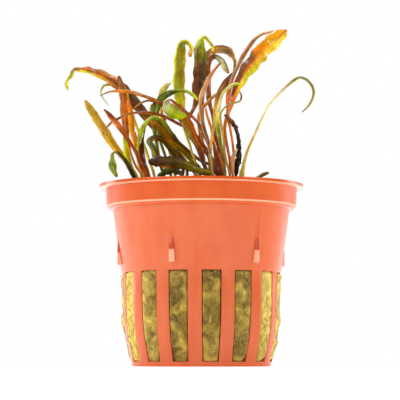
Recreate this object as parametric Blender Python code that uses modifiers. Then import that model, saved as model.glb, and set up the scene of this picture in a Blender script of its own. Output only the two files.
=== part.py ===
"""A cryptocoryne in its round net pot, with rock wool, crowns and leaves.

Metres, +Z up. The origin is the centre of the underside of the pot. The front is towards -Y.
"""
import math

import bmesh
import bpy
from mathutils import Matrix, Vector

MM = 0.001
COLLECTION = "potted_cryptocoryne"
CUTTERS = "cutters"

# Pot: radii and heights of the outer side in mm
POT_HEIGHT = 49.65
LIP_RADIUS, LIP_THICKNESS = 28.05, 0.95
COLLAR_TOP_RADIUS, COLLAR_FOOT_RADIUS, COLLAR_FOOT = 26.3, 26.0, 43.9
STEP_RADIUS, STEP_FOOT = 24.2, 42.7
SLOT_TOP, SLOT_FOOT, SLOT_TOP_RADIUS = 25.5, 1.35, 21.9
SLOT_CUT_IN, SLOT_CUT_OUT = 17.5, 23.4
WALL_FOOT = 25.9
BARREL = ((21.6, 25.0), (21.45, 18.0), (21.2, 12.0), (20.7, 8.0), (19.8, 4.0), (19.25, 1.3))
BASE_RADIUS, BASE_THICKNESS, BASE_CHAMFER = 19.05, 1.3, 0.3
WALL, COLLAR_FLOOR = 1.0, 0.4
POT_STEPS = 48
RIBS, RIB_WIDTH, RIB_ANGLE = 15, 3.7, -4.7
LUGS, LUG_ANGLE = 6, -20.0
LUG_FOOT, LUG_BEND, LUG_TOP = 27.6, 30.9, 34.2
LUG_WIDTH, LUG_TOP_WIDTH, LUG_REACH, LUG_LEDGE = 1.35, 0.9, 0.6, 0.05
BASE_HOLES, BASE_HOLE_INNER, BASE_HOLE_OUTER, BASE_HOLE_WIDTH = 8, 8.0, 16.0, 3.0

# Rock wool and crowns
GAP = 0.3
WOOL_TOP, WOOL_TOP_RADIUS = 41.5, 22.75
WOOL_STEPS = 32
CROWN_SIDES = 10
CROWN_FOOT, CROWN_TOP = 36.5, 44.6
CROWN_FOOT_RADIUS, CROWN_TOP_RADIUS = 3.3, 2.5
ROOT_RADIUS, ROOT_GAP = 1.9, 0.6
CROWNS = {
    "left": (-13.0, 0.5),
    "left_front": (-14.5, -6.7),
    "back": (-6.0, 7.0),
    "middle": (0.5, -3.5),
    "front": (8.0, -8.5),
    "right": (9.5, 2.5),
}

# Leaves are laid out on the plane of the pot's axis as the eye sees them from the front,
# and each point then moves along its line of sight to its own depth.
EYE_DISTANCE, EYE_ACROSS, EYE_HEIGHT = 522.0, -0.36, 1.27
LEAF_THICKNESS = 0.4
STALK_WIDTH = 0.75
BLADE_FOLD = 0.18
NARROW, NARROWEST = 1.0, 0.25
TANGENT_STEP = 0.01
SHARP_ANGLE = 35.0

COLOURS = {
    "pot": (0.84, 0.19, 0.06),
    "wool": (0.30, 0.22, 0.05),
    "crown": (0.12, 0.06, 0.02),
    "brown": (0.25, 0.08, 0.02),
    "dark": (0.07, 0.03, 0.02),
    "olive": (0.20, 0.18, 0.02),
    "green": (0.22, 0.32, 0.03),
    "yellow": (0.55, 0.40, 0.03),
    "orange": (0.60, 0.22, 0.02),
    "pink": (0.55, 0.25, 0.15),
    "tan": (0.45, 0.28, 0.10),
}

# name, crown, root angle about the crown, colour, depths, turns, points
# Depths (mm, back is positive) and turns (degrees from facing front) are spread evenly from the first
# point to the tip. A point is (across, up, width) in mm.
LEAVES = (
    ("leaf_upright_brown", "left", 235, "brown", (-2, -1, 0, 2, 4, 6), (10, 0, -15, -10), (
        (-16.2, 52.2, 0.8), (-18.0, 55.0, 0.7), (-19.3, 58.0, 0.7), (-20.2, 62.0, 0.8), (-20.8, 66.0, 1.9),
        (-21.2, 70.0, 2.9), (-21.4, 74.0, 2.7), (-22.2, 77.5, 1.9), (-22.9, 80.2, 0.7))),
    ("leaf_yellow_strap", "left_front", 130, "orange", (-5, -5.5, -6, -7), (0, 10, 25), (
        (-16.0, 52.6, 0.9), (-17.0, 55.0, 0.9), (-17.8, 58.5, 0.9), (-18.3, 61.5, 1.2), (-18.9, 64.0, 1.4),
        (-19.3, 68.0, 1.7), (-19.6, 71.0, 1.5), (-20.3, 73.4, 0.6))),
    ("leaf_orange_point", "left_front", 180, "orange", (-6.5, -7, -8), (0, 20), (
        (-16.6, 54.5, 0.7), (-17.4, 58.0, 0.9), (-17.9, 61.5, 1.1), (-18.2, 64.6, 0.4))),
    ("leaf_red_diagonal", "left_front", 275, "brown", (-8.5, -10, -11, -13), (0, 20, 10), (
        (-14.9, 52.2, 1.2), (-16.3, 55.0, 1.2), (-18.0, 58.8, 0.9), (-20.0, 62.3, 1.2), (-22.5, 66.0, 1.7),
        (-24.5, 68.3, 1.6), (-25.5, 69.5, 1.2), (-26.9, 70.8, 0.4))),
    ("leaf_yellow_green", "left", 200, "green", (-3, -3.5, -3.5), (0, -20), (
        (-17.8, 52.3, 0.8), (-19.2, 54.4, 1.2), (-20.5, 57.5, 1.7), (-20.9, 60.0, 1.6), (-21.2, 62.0, 1.2),
        (-21.4, 63.4, 0.4))),
    ("leaf_folded_olive", "left_front", 220, "olive", (-9, -12, -14, -14, -13), (20, 30, 70, 10, 0), (
        (-18.4, 52.0, 1.4), (-20.3, 55.8, 1.4), (-22.2, 58.2, 1.3), (-23.6, 59.0, 1.6), (-24.9, 58.4, 2.2),
        (-24.9, 56.5, 2.5), (-24.4, 54.4, 2.2), (-23.7, 53.0, 1.2), (-23.2, 52.0, 0.8))),
    ("leaf_straight_yellow", "left", 165, "yellow", (1, 3, 6, 9), (0, -10, -20), (
        (-18.3, 52.6, 0.8), (-21.2, 57.0, 1.6), (-24.5, 61.2, 2.2), (-26.5, 64.3, 2.6), (-28.7, 67.7, 2.4),
        (-30.4, 70.3, 2.1), (-31.6, 72.2, 1.6), (-32.2, 73.3, 0.5))),
    ("leaf_dark_red", "left", 275, "dark", (-4, -4, -4), (0, 20), (
        (-14.6, 52.4, 1.2), (-15.5, 55.0, 1.3), (-16.2, 57.5, 1.6), (-16.5, 60.0, 1.6), (-16.2, 61.7, 0.8),
        (-15.9, 63.3, 0.4), (-15.4, 65.6, 0.3))),
    ("leaf_green_curl", "left", 60, "green", (2, 7, 13, 15, 16), (0, 0, 10, 60, 30), (
        (-13.0, 52.5, 0.8), (-14.2, 56.0, 0.8), (-15.3, 59.5, 0.8), (-16.9, 63.5, 0.8), (-18.6, 68.0, 0.9),
        (-20.0, 73.0, 1.0), (-21.4, 76.6, 1.2), (-23.6, 77.9, 1.5), (-25.5, 77.9, 1.3), (-27.0, 77.3, 0.9),
        (-27.8, 75.6, 0.5), (-27.3, 74.0, 0.4), (-26.4, 72.9, 0.3), (-25.6, 71.8, 0.2))),
    ("leaf_left_arch", "back", 170, "brown", (8, 6, 6, 8, 14, 18), (0, 0, 0, 20, 40), (
        (-5.0, 54.0, 1.0), (-7.5, 58.0, 1.2), (-10.5, 62.5, 1.6), (-13.4, 66.5, 2.2), (-16.3, 70.2, 2.7),
        (-18.9, 73.3, 3.0), (-21.8, 76.6, 3.1), (-24.5, 78.8, 2.9), (-28.3, 80.9, 2.4), (-32.3, 82.0, 2.0),
        (-35.0, 81.8, 1.4), (-36.6, 79.6, 1.2), (-37.3, 77.6, 1.2), (-36.9, 75.9, 0.4))),
    ("leaf_thin_arch_green", "back", 210, "green", (5, 3, 1, 0, -1, -2), (0, 0, 20, 60, 60), (
        (-10.5, 53.0, 0.9), (-11.6, 57.0, 1.0), (-12.4, 62.0, 1.2), (-12.9, 67.0, 2.0), (-12.9, 70.5, 2.6),
        (-12.7, 72.4, 2.0), (-13.2, 73.1, 1.0), (-14.6, 73.3, 0.7), (-16.3, 72.8, 0.6), (-17.7, 71.9, 0.5),
        (-18.5, 71.2, 0.3))),
    ("leaf_green_arch", "back", 250, "green", (3, 0, -3, -5, -7, -8), (0, 0, 0, 40, 20), (
        (-8.5, 53.0, 0.8), (-10.0, 58.0, 0.8), (-11.6, 63.0, 0.9), (-12.2, 68.0, 0.9), (-11.9, 71.5, 1.3),
        (-11.2, 73.8, 2.0), (-9.6, 75.0, 1.9), (-7.6, 75.7, 1.2), (-6.0, 75.9, 0.9), (-4.5, 75.8, 0.9),
        (-3.0, 75.2, 1.1), (-1.9, 74.3, 0.9), (-1.0, 73.3, 0.4))),
    ("leaf_small_pale", "back", 90, "tan", (9, 9, 6, 4), (0, 0, 30), (
        (-7.4, 53.5, 0.7), (-9.0, 60.0, 0.8), (-10.6, 67.0, 0.9), (-11.1, 72.0, 1.2), (-10.9, 75.0, 1.8),
        (-9.9, 77.0, 1.6), (-8.4, 78.2, 0.7))),
    ("leaf_hanging_striped", "back", 290, "olive", (3, 0, -3, -6, -7), (0, 0, 10, 50, 0), (
        (-3.9, 53.6, 0.9), (-5.8, 57.0, 1.1), (-7.6, 60.0, 1.4), (-9.4, 61.9, 1.7), (-11.6, 62.8, 1.5),
        (-13.4, 62.9, 1.6), (-14.6, 62.0, 2.1), (-13.9, 60.3, 2.4), (-13.0, 58.6, 2.2), (-12.4, 57.2, 1.2))),
    ("leaf_wide_amber", "middle", 150, "brown", (0, -2, -5, -7), (0, 0, 15), (
        (-0.4, 53.5, 1.0), (-2.0, 56.0, 1.4), (-4.5, 58.8, 2.0), (-6.5, 60.8, 2.5), (-8.5, 63.0, 2.9),
        (-10.3, 65.2, 3.1), (-12.0, 66.6, 3.0), (-13.6, 67.3, 2.2), (-14.8, 67.4, 0.7))),
    ("leaf_tall_olive", "middle", 190, "yellow", (-7, -7, -5, -1, 3, 4, 3), (0, 0, 0, 0, 0, 60, 20), (
        (-1.6, 55.7, 0.6), (-2.5, 58.5, 0.6), (-3.3, 61.3, 0.7), (-4.3, 64.3, 0.8), (-5.0, 68.0, 1.4),
        (-5.6, 71.5, 2.3), (-6.0, 75.0, 3.0), (-6.2, 79.0, 3.3), (-6.0, 83.0, 3.2), (-5.8, 86.3, 3.1),
        (-5.2, 88.4, 2.8), (-4.2, 89.2, 2.0), (-3.4, 88.3, 1.6), (-3.1, 86.8, 1.6), (-3.1, 85.4, 0.7))),
    ("leaf_tall_dark", "middle", 275, "dark", (-5, -5.5, -4.5, -2, 2, 6, 8, 8), (0, 0, 30, 0, 0, 0, 60, 40), (
        (1.5, 53.3, 0.9), (0.4, 56.0, 0.9), (-0.7, 59.3, 1.0), (-1.8, 61.8, 1.1), (-3.0, 64.5, 1.4),
        (-3.6, 67.0, 1.3), (-3.1, 69.0, 1.0), (-2.0, 71.2, 1.1), (-1.2, 73.8, 2.0), (-1.0, 76.5, 3.1),
        (-0.5, 80.0, 3.5), (-0.4, 84.0, 3.7), (-0.3, 87.4, 3.6), (0.1, 89.7, 2.8), (1.0, 90.7, 1.7),
        (2.0, 89.6, 1.5), (2.8, 88.2, 1.2), (3.3, 87.0, 0.4))),
    ("leaf_low_olive", "middle", 230, "olive", (-10, -12, -15, -17), (0, 10, 0), (
        (2.7, 52.5, 1.1), (0.0, 53.6, 1.8), (-2.0, 54.6, 2.2), (-4.5, 55.5, 2.7), (-7.0, 56.1, 3.1),
        (-9.5, 56.3, 3.4), (-12.0, 56.3, 2.9), (-13.6, 56.3, 1.8), (-14.5, 56.2, 0.5))),
    ("leaf_long_brown_arch", "middle", 55, "brown", (1, -1, -8, -13, -17), (0, 10, 30, 40, 40), (
        (2.2, 56.2, 0.7), (0.3, 59.8, 0.8), (-2.0, 63.0, 0.9), (-5.0, 67.0, 1.0), (-8.0, 70.4, 1.1),
        (-10.5, 72.1, 1.2), (-13.0, 73.6, 1.2), (-16.0, 74.7, 1.3), (-19.0, 75.7, 1.3), (-22.0, 76.0, 1.1),
        (-25.0, 75.8, 0.6), (-26.5, 75.3, 0.5), (-28.0, 74.6, 0.3))),
    ("leaf_silver_fold", "middle", 340, "green", (-6, -8, -10, -11, -9.5, -9), (0, 10, 50, 90, 160, 170), (
        (2.6, 56.0, 0.6), (2.2, 60.0, 0.7), (1.0, 63.2, 0.8), (-0.4, 66.4, 0.8), (-2.7, 69.1, 1.0),
        (-4.8, 70.8, 1.5), (-6.6, 72.4, 2.0), (-8.4, 73.7, 2.6), (-10.1, 73.0, 3.4), (-9.9, 71.2, 3.9),
        (-8.1, 69.9, 3.7), (-6.0, 69.1, 2.6), (-4.0, 69.0, 0.8))),
    ("leaf_pink_edge", "middle", 305, "pink", (-7.5, -9, -10, -12, -14), (20, 60, 65, 60, 50), (
        (2.5, 53.5, 0.9), (2.4, 58.0, 0.9), (2.1, 62.0, 1.4), (1.4, 64.5, 2.0), (0.7, 67.5, 2.4),
        (0.2, 70.5, 2.6), (0.1, 73.0, 2.4), (0.7, 75.5, 2.2), (1.8, 78.0, 1.9), (2.8, 80.0, 1.6),
        (4.0, 82.0, 1.2), (5.6, 84.0, 0.4))),
    ("leaf_thin_red_arch", "middle", 10, "brown", (-3.2, -2.2, -6.5, -12, -16, -19), (0, 20, 30, 40, 50), (
        (3.4, 55.0, 0.8), (2.0, 58.8, 1.0), (0.0, 61.5, 1.1), (-2.0, 64.2, 1.1), (-4.3, 66.0, 1.1),
        (-6.5, 67.0, 1.1), (-8.5, 68.1, 1.1), (-11.0, 69.2, 1.0), (-14.0, 69.9, 0.9), (-17.0, 70.0, 0.9),
        (-20.0, 69.6, 0.9), (-23.0, 68.3, 0.9), (-24.8, 67.2, 0.8), (-26.3, 65.6, 0.5), (-27.0, 64.4, 0.4),
        (-26.7, 63.5, 0.3))),
    ("leaf_orange_branch", "middle", 90, "orange", (0, -1.5, -3.5, -3.5), (0, 0, 30), (
        (0.9, 55.5, 0.7), (0.2, 60.0, 0.8), (-0.4, 63.8, 0.8), (-0.8, 67.5, 0.9), (-0.5, 69.8, 0.9),
        (0.5, 71.3, 0.9), (1.6, 72.5, 0.9), (3.0, 74.0, 0.9), (4.4, 75.0, 0.8), (5.4, 75.7, 0.4))),
    ("leaf_purple_brown", "front", 256, "brown", (-13, -11.5, -8.5, -5.5, -3), (0, 0, 10, 0, 20), (
        (3.4, 52.4, 0.6), (2.8, 56.0, 0.6), (2.6, 60.0, 0.7), (2.9, 63.0, 0.7), (3.5, 66.5, 0.9),
        (3.7, 69.5, 1.0), (4.2, 72.5, 1.2), (5.0, 75.0, 1.6), (6.0, 76.9, 2.0), (7.2, 78.6, 1.9),
        (8.4, 80.2, 1.2), (9.3, 81.3, 0.4))),
    ("leaf_hooked_brown", "front", 112, "dark", (-3, -2, -1, 1, 0, -3), (0, 0, 0, 10, 50, 20), (
        (5.9, 54.5, 0.9), (5.3, 58.0, 1.0), (4.6, 61.0, 1.1), (3.9, 63.5, 1.1), (3.5, 67.0, 1.0),
        (3.0, 69.8, 1.0), (2.4, 72.0, 1.1), (2.0, 75.0, 1.6), (1.9, 79.0, 1.5), (2.0, 82.5, 1.4),
        (2.6, 84.4, 1.7), (3.8, 85.1, 2.1), (5.2, 84.0, 2.5), (6.4, 82.4, 1.9), (7.6, 80.8, 0.5))),
    ("stalk_cut", "front", 172, "orange", (-8.6, -6, -4), (0, 0), (
        (6.5, 53.3, 0.9), (5.2, 56.6, 0.9), (4.0, 59.3, 0.9), (3.2, 62.5, 0.8), (2.9, 65.0, 0.8),
        (2.2, 67.2, 0.8), (1.6, 69.0, 0.7), (1.2, 71.2, 0.6))),
    ("leaf_tendril", "front", 290, "tan", (-13, -14, -14, -12, -11), (0, 0, 0, 20), (
        (7.9, 52.4, 0.6), (7.1, 55.5, 0.6), (6.5, 58.5, 0.6), (6.2, 62.0, 0.6), (5.7, 65.5, 0.6),
        (5.3, 68.0, 0.5), (5.4, 69.7, 0.5), (6.2, 71.0, 0.5), (7.4, 71.9, 0.5), (8.7, 72.5, 0.5),
        (10.0, 72.8, 0.5), (10.8, 73.3, 0.5), (11.1, 74.3, 0.5), (10.9, 75.2, 0.4), (10.4, 75.9, 0.3))),
    ("leaf_green_hanging", "right", 200, "green", (-1, -2, -5, -9, -12, -13, -12), (0, 0, 0, 20, 40, 10, 0), (
        (4.5, 54.5, 1.0), (2.5, 55.5, 0.9), (0.5, 56.2, 0.9), (-1.6, 57.6, 0.9), (-4.5, 60.0, 1.0),
        (-6.8, 62.0, 1.2), (-8.4, 64.0, 1.6), (-10.2, 66.8, 1.6), (-12.0, 68.3, 1.4), (-13.6, 68.6, 1.4),
        (-15.2, 67.4, 1.7), (-16.5, 65.3, 1.7), (-17.1, 63.0, 1.3), (-17.4, 61.0, 0.7), (-17.6, 59.2, 0.3))),
    ("leaf_thin_yellow_green", "front", 200, "green", (-9.5, -12, -13, -13, -12), (0, 0, 0, 30, 50), (
        (6.4, 55.5, 0.7), (5.8, 59.5, 0.8), (5.2, 62.0, 1.0), (4.7, 65.5, 1.3), (4.5, 68.0, 1.1),
        (4.7, 70.5, 1.1), (5.2, 72.8, 0.9), (5.9, 75.0, 0.8), (7.3, 76.6, 0.8), (8.7, 77.5, 0.9),
        (9.9, 77.9, 0.8), (11.2, 77.7, 0.3))),
    ("leaf_pink_strap", "right", 235, "pink", (0, -3, -5, -7, -10, -14), (0, 30, 60, 65, 60), (
        (9.0, 54.5, 0.7), (8.9, 59.0, 0.7), (8.6, 62.0, 0.7), (8.1, 65.3, 0.8), (7.6, 68.5, 1.2),
        (7.6, 72.0, 1.6), (7.9, 75.0, 2.0), (8.6, 78.0, 2.3), (9.6, 80.7, 2.4), (11.3, 84.2, 2.4),
        (13.0, 87.2, 2.2), (15.0, 90.0, 1.7), (17.0, 91.6, 1.2), (19.2, 92.3, 0.7), (20.1, 92.8, 0.3))),
    ("leaf_large_orange", "right", 160, "orange", (2, 2, 2, 3, 6, 9, 12), (0, 0, 0, 20, 20), (
        (7.9, 55.5, 0.8), (7.4, 59.0, 0.8), (6.7, 63.0, 0.9), (6.5, 66.0, 1.0), (7.3, 69.5, 1.1),
        (8.2, 72.0, 1.3), (9.2, 75.0, 1.8), (10.4, 78.0, 2.8), (12.3, 81.3, 3.7), (14.7, 84.1, 4.3),
        (17.2, 87.0, 4.6), (19.7, 89.2, 4.7), (21.6, 90.9, 4.1), (22.8, 92.1, 2.8), (23.7, 93.0, 0.5))),
    ("sheath_papery", "front", 350, "tan", (-8, -8, -8), (0, 20), (
        (8.8, 52.5, 0.8), (8.6, 55.0, 1.0), (8.7, 57.0, 1.3), (9.2, 58.5, 1.0), (9.9, 59.9, 0.4))),
    ("leaf_decayed", "right", 285, "dark", (-4, -5, -7, -9, -10), (0, 0, 20, 20), (
        (9.4, 52.4, 1.2), (9.8, 55.0, 1.7), (10.2, 58.0, 1.7), (10.3, 61.0, 1.2), (10.1, 63.8, 1.0),
        (9.6, 65.6, 1.1), (8.6, 67.3, 1.2), (7.4, 68.6, 1.0), (6.3, 69.3, 0.5))),
    ("leaf_right_loop", "right", 30, "yellow", (4, 6, 9, 13, 16, 17), (0, 0, 20, 30, 20, 10), (
        (11.1, 52.4, 1.5), (11.5, 54.5, 1.2), (12.0, 57.0, 0.9), (13.0, 60.0, 0.8), (14.6, 63.5, 0.7),
        (16.2, 67.0, 0.7), (18.2, 71.0, 0.7), (20.3, 73.7, 0.7), (22.2, 75.8, 0.7), (24.2, 77.7, 0.9),
        (25.8, 78.9, 1.0), (27.3, 79.6, 0.8), (29.2, 78.9, 0.8), (30.6, 77.2, 0.8), (31.0, 75.5, 0.8),
        (30.6, 73.6, 0.7), (29.4, 71.6, 0.6), (27.7, 69.9, 0.3))),
    ("leaf_amber_strap", "front", 143, "brown", (-8.3, -8.3, -8.5, -8, -7, -6.5), (0, 0, 10), (
        (2.4, 52.3, 0.9), (1.0, 54.8, 1.0), (0.1, 57.5, 1.2), (-0.9, 60.3, 1.6), (-2.2, 63.4, 2.4),
        (-3.4, 66.0, 2.9), (-4.6, 68.6, 2.8), (-5.6, 71.0, 2.0), (-6.2, 72.4, 0.6))),
    ("leaf_dark_strap", "middle", 121, "olive", (3.6, 5, 5, 4.4, 4), (0, 10, 0), (
        (-1.6, 53.0, 1.2), (-4.2, 55.8, 1.7), (-6.8, 58.6, 2.2), (-8.9, 61.4, 2.4), (-10.0, 64.4, 2.2),
        (-10.2, 67.2, 1.2), (-10.0, 69.0, 0.4))),
    ("leaf_dark_curl", "left_front", 325, "olive", (-8, -9.5, -11), (0, 20, 0), (
        (-11.6, 51.8, 1.3), (-10.2, 53.2, 2.0), (-8.2, 53.9, 2.3), (-6.4, 53.5, 1.8), (-5.2, 52.4, 0.6))),
    ("sheath_brown", "front", 225, "brown", (-11.5, -11, -10), (0, 10), (
        (5.2, 52.3, 2.4), (4.9, 54.8, 2.2), (4.3, 57.4, 1.6), (3.7, 60.0, 1.0), (3.2, 62.0, 0.4))),
    ("leaf_tip_at_rim", "right", 330, "olive", (0, -3, -6), (0, 10), (
        (14.5, 50.8, 0.9), (16.2, 52.2, 1.0), (17.5, 52.9, 1.0), (18.6, 53.2, 0.4))),
    ("leaf_tan_hood", "right", 120, "tan", (8, 9, 11, 13, 15, 16), (0, 0, 0, 30, 50, 20), (
        (0.9, 60.0, 0.8), (0.5, 66.0, 0.9), (0.2, 72.0, 1.2), (0.4, 78.0, 1.8), (1.0, 82.5, 2.2),
        (1.9, 85.6, 2.3), (3.2, 87.0, 2.2), (5.0, 87.5, 2.4), (6.8, 87.0, 2.6), (8.1, 85.9, 2.4),
        (8.9, 84.3, 1.6), (9.1, 82.5, 0.9), (8.8, 81.0, 0.7), (8.2, 80.1, 0.3))),
)


def clear_scene():
    for item in list(bpy.data.objects):
        bpy.data.objects.remove(item, do_unlink=True)


def new_collection(name):
    collection = bpy.data.collections.new(name)
    bpy.context.scene.collection.children.link(collection)
    return collection


def material(name, colour, roughness):
    found = bpy.data.materials.get(name)
    if found:
        return found
    made = bpy.data.materials.new(name)
    made.use_nodes = True
    shader = made.node_tree.nodes["Principled BSDF"]
    shader.inputs["Base Color"].default_value = (*colour, 1.0)
    shader.inputs["Roughness"].default_value = roughness
    shader.inputs["Metallic"].default_value = 0.0
    return made


def add_object(name, bm, collection, colour=None, roughness=0.5):
    """Turn a bmesh into a named object."""
    mesh = bpy.data.meshes.new(name)
    bm.to_mesh(mesh)
    bm.free()
    made = bpy.data.objects.new(name, mesh)
    collection.objects.link(made)
    if colour:
        mesh.materials.append(material(f"{colour}_finish", COLOURS[colour], roughness))
    mesh.shade_smooth()
    mesh.set_sharp_from_angle(angle=math.radians(SHARP_ANGLE))
    return made


def hide_guide(made):
    made.hide_render = True
    made.display_type = "WIRE"


def cut(target, cutter, operation="DIFFERENCE"):
    modifier = target.modifiers.new(f"{operation.lower()}_{cutter.name}", "BOOLEAN")
    modifier.object = cutter
    modifier.operation = operation
    modifier.solver = "EXACT"


def around(angle):
    """Turn about the pot's axis: 0 is the front (-Y), and the angle grows towards +X."""
    return Matrix.Rotation(math.radians(angle), 4, "Z")


def outer_profile():
    """Outer side of the pot, (radius, height) in mm from the lip down to the base."""
    points = [(LIP_RADIUS, POT_HEIGHT), (LIP_RADIUS, POT_HEIGHT - LIP_THICKNESS)]
    points += [(COLLAR_TOP_RADIUS, POT_HEIGHT - LIP_THICKNESS), (COLLAR_FOOT_RADIUS, COLLAR_FOOT)]
    depth = COLLAR_FOOT_RADIUS - STEP_RADIUS
    drop = COLLAR_FOOT - STEP_FOOT
    for angle in (30, 60, 90):
        turn = math.radians(angle)
        radius = COLLAR_FOOT_RADIUS - depth * (1 - math.cos(turn))
        points.append((radius, COLLAR_FOOT - drop * math.sin(turn)))
    points += [(SLOT_TOP_RADIUS, WALL_FOOT), *BARREL]
    points += [(BASE_RADIUS, BASE_CHAMFER), (BASE_RADIUS - BASE_CHAMFER, 0.0)]
    return points


def inner_profile(clearance=0.0):
    """Inner side of the pot, (radius, height) in mm from the floor up to the lip."""
    inset = WALL + clearance
    points = [(radius - inset, height) for radius, height in reversed(BARREL[:-1])]
    points.insert(0, (BARREL[-1][0] - inset, BASE_THICKNESS + clearance))
    points += [(SLOT_TOP_RADIUS - inset, WALL_FOOT), (STEP_RADIUS - inset, STEP_FOOT)]
    return points


def turned(name, profile, steps, collection, colour, roughness=0.5):
    """Revolve a profile that runs down its outer side."""
    bm = bmesh.new()
    corners = [bm.verts.new((radius * MM, 0.0, height * MM)) for radius, height in profile]
    for first, second in zip(corners, corners[1:]):
        bm.edges.new((first, second))
    made = add_object(name, bm, collection, colour, roughness)
    screw = made.modifiers.new("turn", "SCREW")
    screw.axis = "Z"
    screw.angle = math.tau
    screw.steps = screw.render_steps = steps
    screw.use_merge_vertices = True
    screw.merge_threshold = 0.00001
    screw.use_smooth_shade = True
    return made


def slot_cutters(collection):
    """One mesh with the openings between the ribs, wider at the top."""
    pitch = 360.0 / RIBS
    chord = math.pi / RIBS
    top_half = SLOT_TOP_RADIUS * math.sin(chord) - RIB_WIDTH / 2
    foot_half = BASE_RADIUS * math.sin(chord) - RIB_WIDTH / 2
    bm = bmesh.new()
    for index in range(RIBS):
        place = around(RIB_ANGLE + (index + 0.5) * pitch)
        for corner in bmesh.ops.create_cube(bm, size=2.0)["verts"]:
            upper = corner.co.z > 0
            half = top_half if upper else foot_half
            across = math.copysign(half, corner.co.x)
            depth = -SLOT_CUT_OUT if corner.co.y < 0 else -SLOT_CUT_IN
            corner.co = place @ (Vector((across, depth, SLOT_TOP if upper else SLOT_FOOT)) * MM)
    made = add_object("slot_cutters", bm, collection)
    hide_guide(made)
    return made


def base_cutters(collection):
    """One mesh with the radial drain holes of the base."""
    bm = bmesh.new()
    for index in range(BASE_HOLES):
        place = around(index * 360.0 / BASE_HOLES)
        for corner in bmesh.ops.create_cube(bm, size=2.0)["verts"]:
            across = math.copysign(BASE_HOLE_WIDTH / 2, corner.co.x)
            depth = -BASE_HOLE_OUTER if corner.co.y < 0 else -BASE_HOLE_INNER
            height = math.copysign(BASE_THICKNESS, corner.co.z) + BASE_THICKNESS / 2
            corner.co = place @ (Vector((across, depth, height)) * MM)
    made = add_object("base_cutters", bm, collection)
    hide_guide(made)
    return made


def lugs(collection):
    """One mesh with the six wedge-shaped lugs, each with an upright foot and a sloping top."""
    slope = (STEP_RADIUS - SLOT_TOP_RADIUS) / (STEP_FOOT - SLOT_TOP)
    wall_at_bend = SLOT_TOP_RADIUS + slope * (LUG_BEND - SLOT_TOP)
    wall_at_top = SLOT_TOP_RADIUS + slope * (LUG_TOP - SLOT_TOP)
    root = wall_at_bend - WALL / 2
    outline = (
        (root, LUG_FOOT, LUG_WIDTH),
        (wall_at_bend + LUG_REACH, LUG_FOOT, LUG_WIDTH),
        (wall_at_bend + LUG_REACH, LUG_BEND, LUG_WIDTH),
        (wall_at_top + LUG_LEDGE, LUG_TOP, LUG_TOP_WIDTH),
        (root, LUG_TOP, LUG_TOP_WIDTH),
    )
    bm = bmesh.new()
    for index in range(LUGS):
        place = around(LUG_ANGLE + index * 360.0 / LUGS)
        side = [bm.verts.new(Vector((-width / 2, -radius, height)) * MM) for radius, height, width in outline]
        cheek = bmesh.ops.extrude_face_region(bm, geom=[bm.faces.new(side)], use_keep_orig=True)["geom"]
        other = [item for item in cheek if isinstance(item, bmesh.types.BMVert)]
        for corner in other:
            corner.co.x *= -1
        for corner in side + other:
            corner.co = place @ corner.co
    bmesh.ops.recalc_face_normals(bm, faces=bm.faces[:])
    made = add_object("lug_forms", bm, collection)
    hide_guide(made)
    return made


def net_pot(collection, cutters):
    rim = [(COLLAR_TOP_RADIUS - WALL, COLLAR_FOOT + COLLAR_FLOOR), (COLLAR_TOP_RADIUS - WALL, POT_HEIGHT)]
    profile = outer_profile() + [(0.0, 0.0)]
    inside = [(0.0, BASE_THICKNESS)] + inner_profile() + rim
    made = turned("net_pot", profile + inside + [profile[0]], POT_STEPS, collection, "pot", 0.35)
    cut(made, lugs(cutters), "UNION")
    cut(made, slot_cutters(cutters))
    cut(made, base_cutters(cutters))
    return made


def crown(name, centre, collection, clearance=0.0, colour="crown"):
    """A tapering stock, or the socket for it when it has a clearance."""
    bm = bmesh.new()
    height = CROWN_TOP - CROWN_FOOT + 2 * clearance
    middle = Vector((*centre, (CROWN_TOP + CROWN_FOOT) / 2)) * MM
    bmesh.ops.create_cone(bm, cap_ends=True, segments=CROWN_SIDES, depth=height * MM,
                          radius1=(CROWN_FOOT_RADIUS + clearance) * MM,
                          radius2=(CROWN_TOP_RADIUS + clearance) * MM, matrix=Matrix.Translation(middle))
    return add_object(name, bm, collection, colour, 0.6)


def rock_wool(collection, cutters):
    sides = [point for point in inner_profile(GAP) if point[1] < WOOL_TOP]
    sides.append((WOOL_TOP_RADIUS, WOOL_TOP))
    profile = [(0.0, WOOL_TOP)] + sides[::-1] + [(0.0, sides[0][1])]
    made = turned("rock_wool", profile, WOOL_STEPS, collection, "wool", 0.9)
    for name, centre in CROWNS.items():
        socket = crown(f"socket_{name}", centre, cutters, GAP, None)
        hide_guide(socket)
        cut(made, socket)
    return made


def blend(values, place):
    """Smooth value at place (0 to 1) along values that are spread evenly."""
    last = len(values) - 1
    spot = min(max(place, 0.0), 1.0) * last
    index = min(int(spot), last - 1)
    part = spot - index
    before, start, end, after = (values[min(max(index + step, 0), last)] for step in (-1, 0, 1, 2))
    return 0.5 * ((2 * start) + (end - before) * part + (2 * before - 5 * start + 4 * end - after) * part ** 2
                  + (3 * start - before - 3 * end + after) * part ** 3)


def seen_point(across, up, depth):
    """The point at this depth that the eye sees at (across, up) on the plane of the pot's axis."""
    scale = (EYE_DISTANCE + depth) / EYE_DISTANCE
    return Vector((EYE_ACROSS + (across - EYE_ACROSS) * scale, depth, EYE_HEIGHT + (up - EYE_HEIGHT) * scale))


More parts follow.
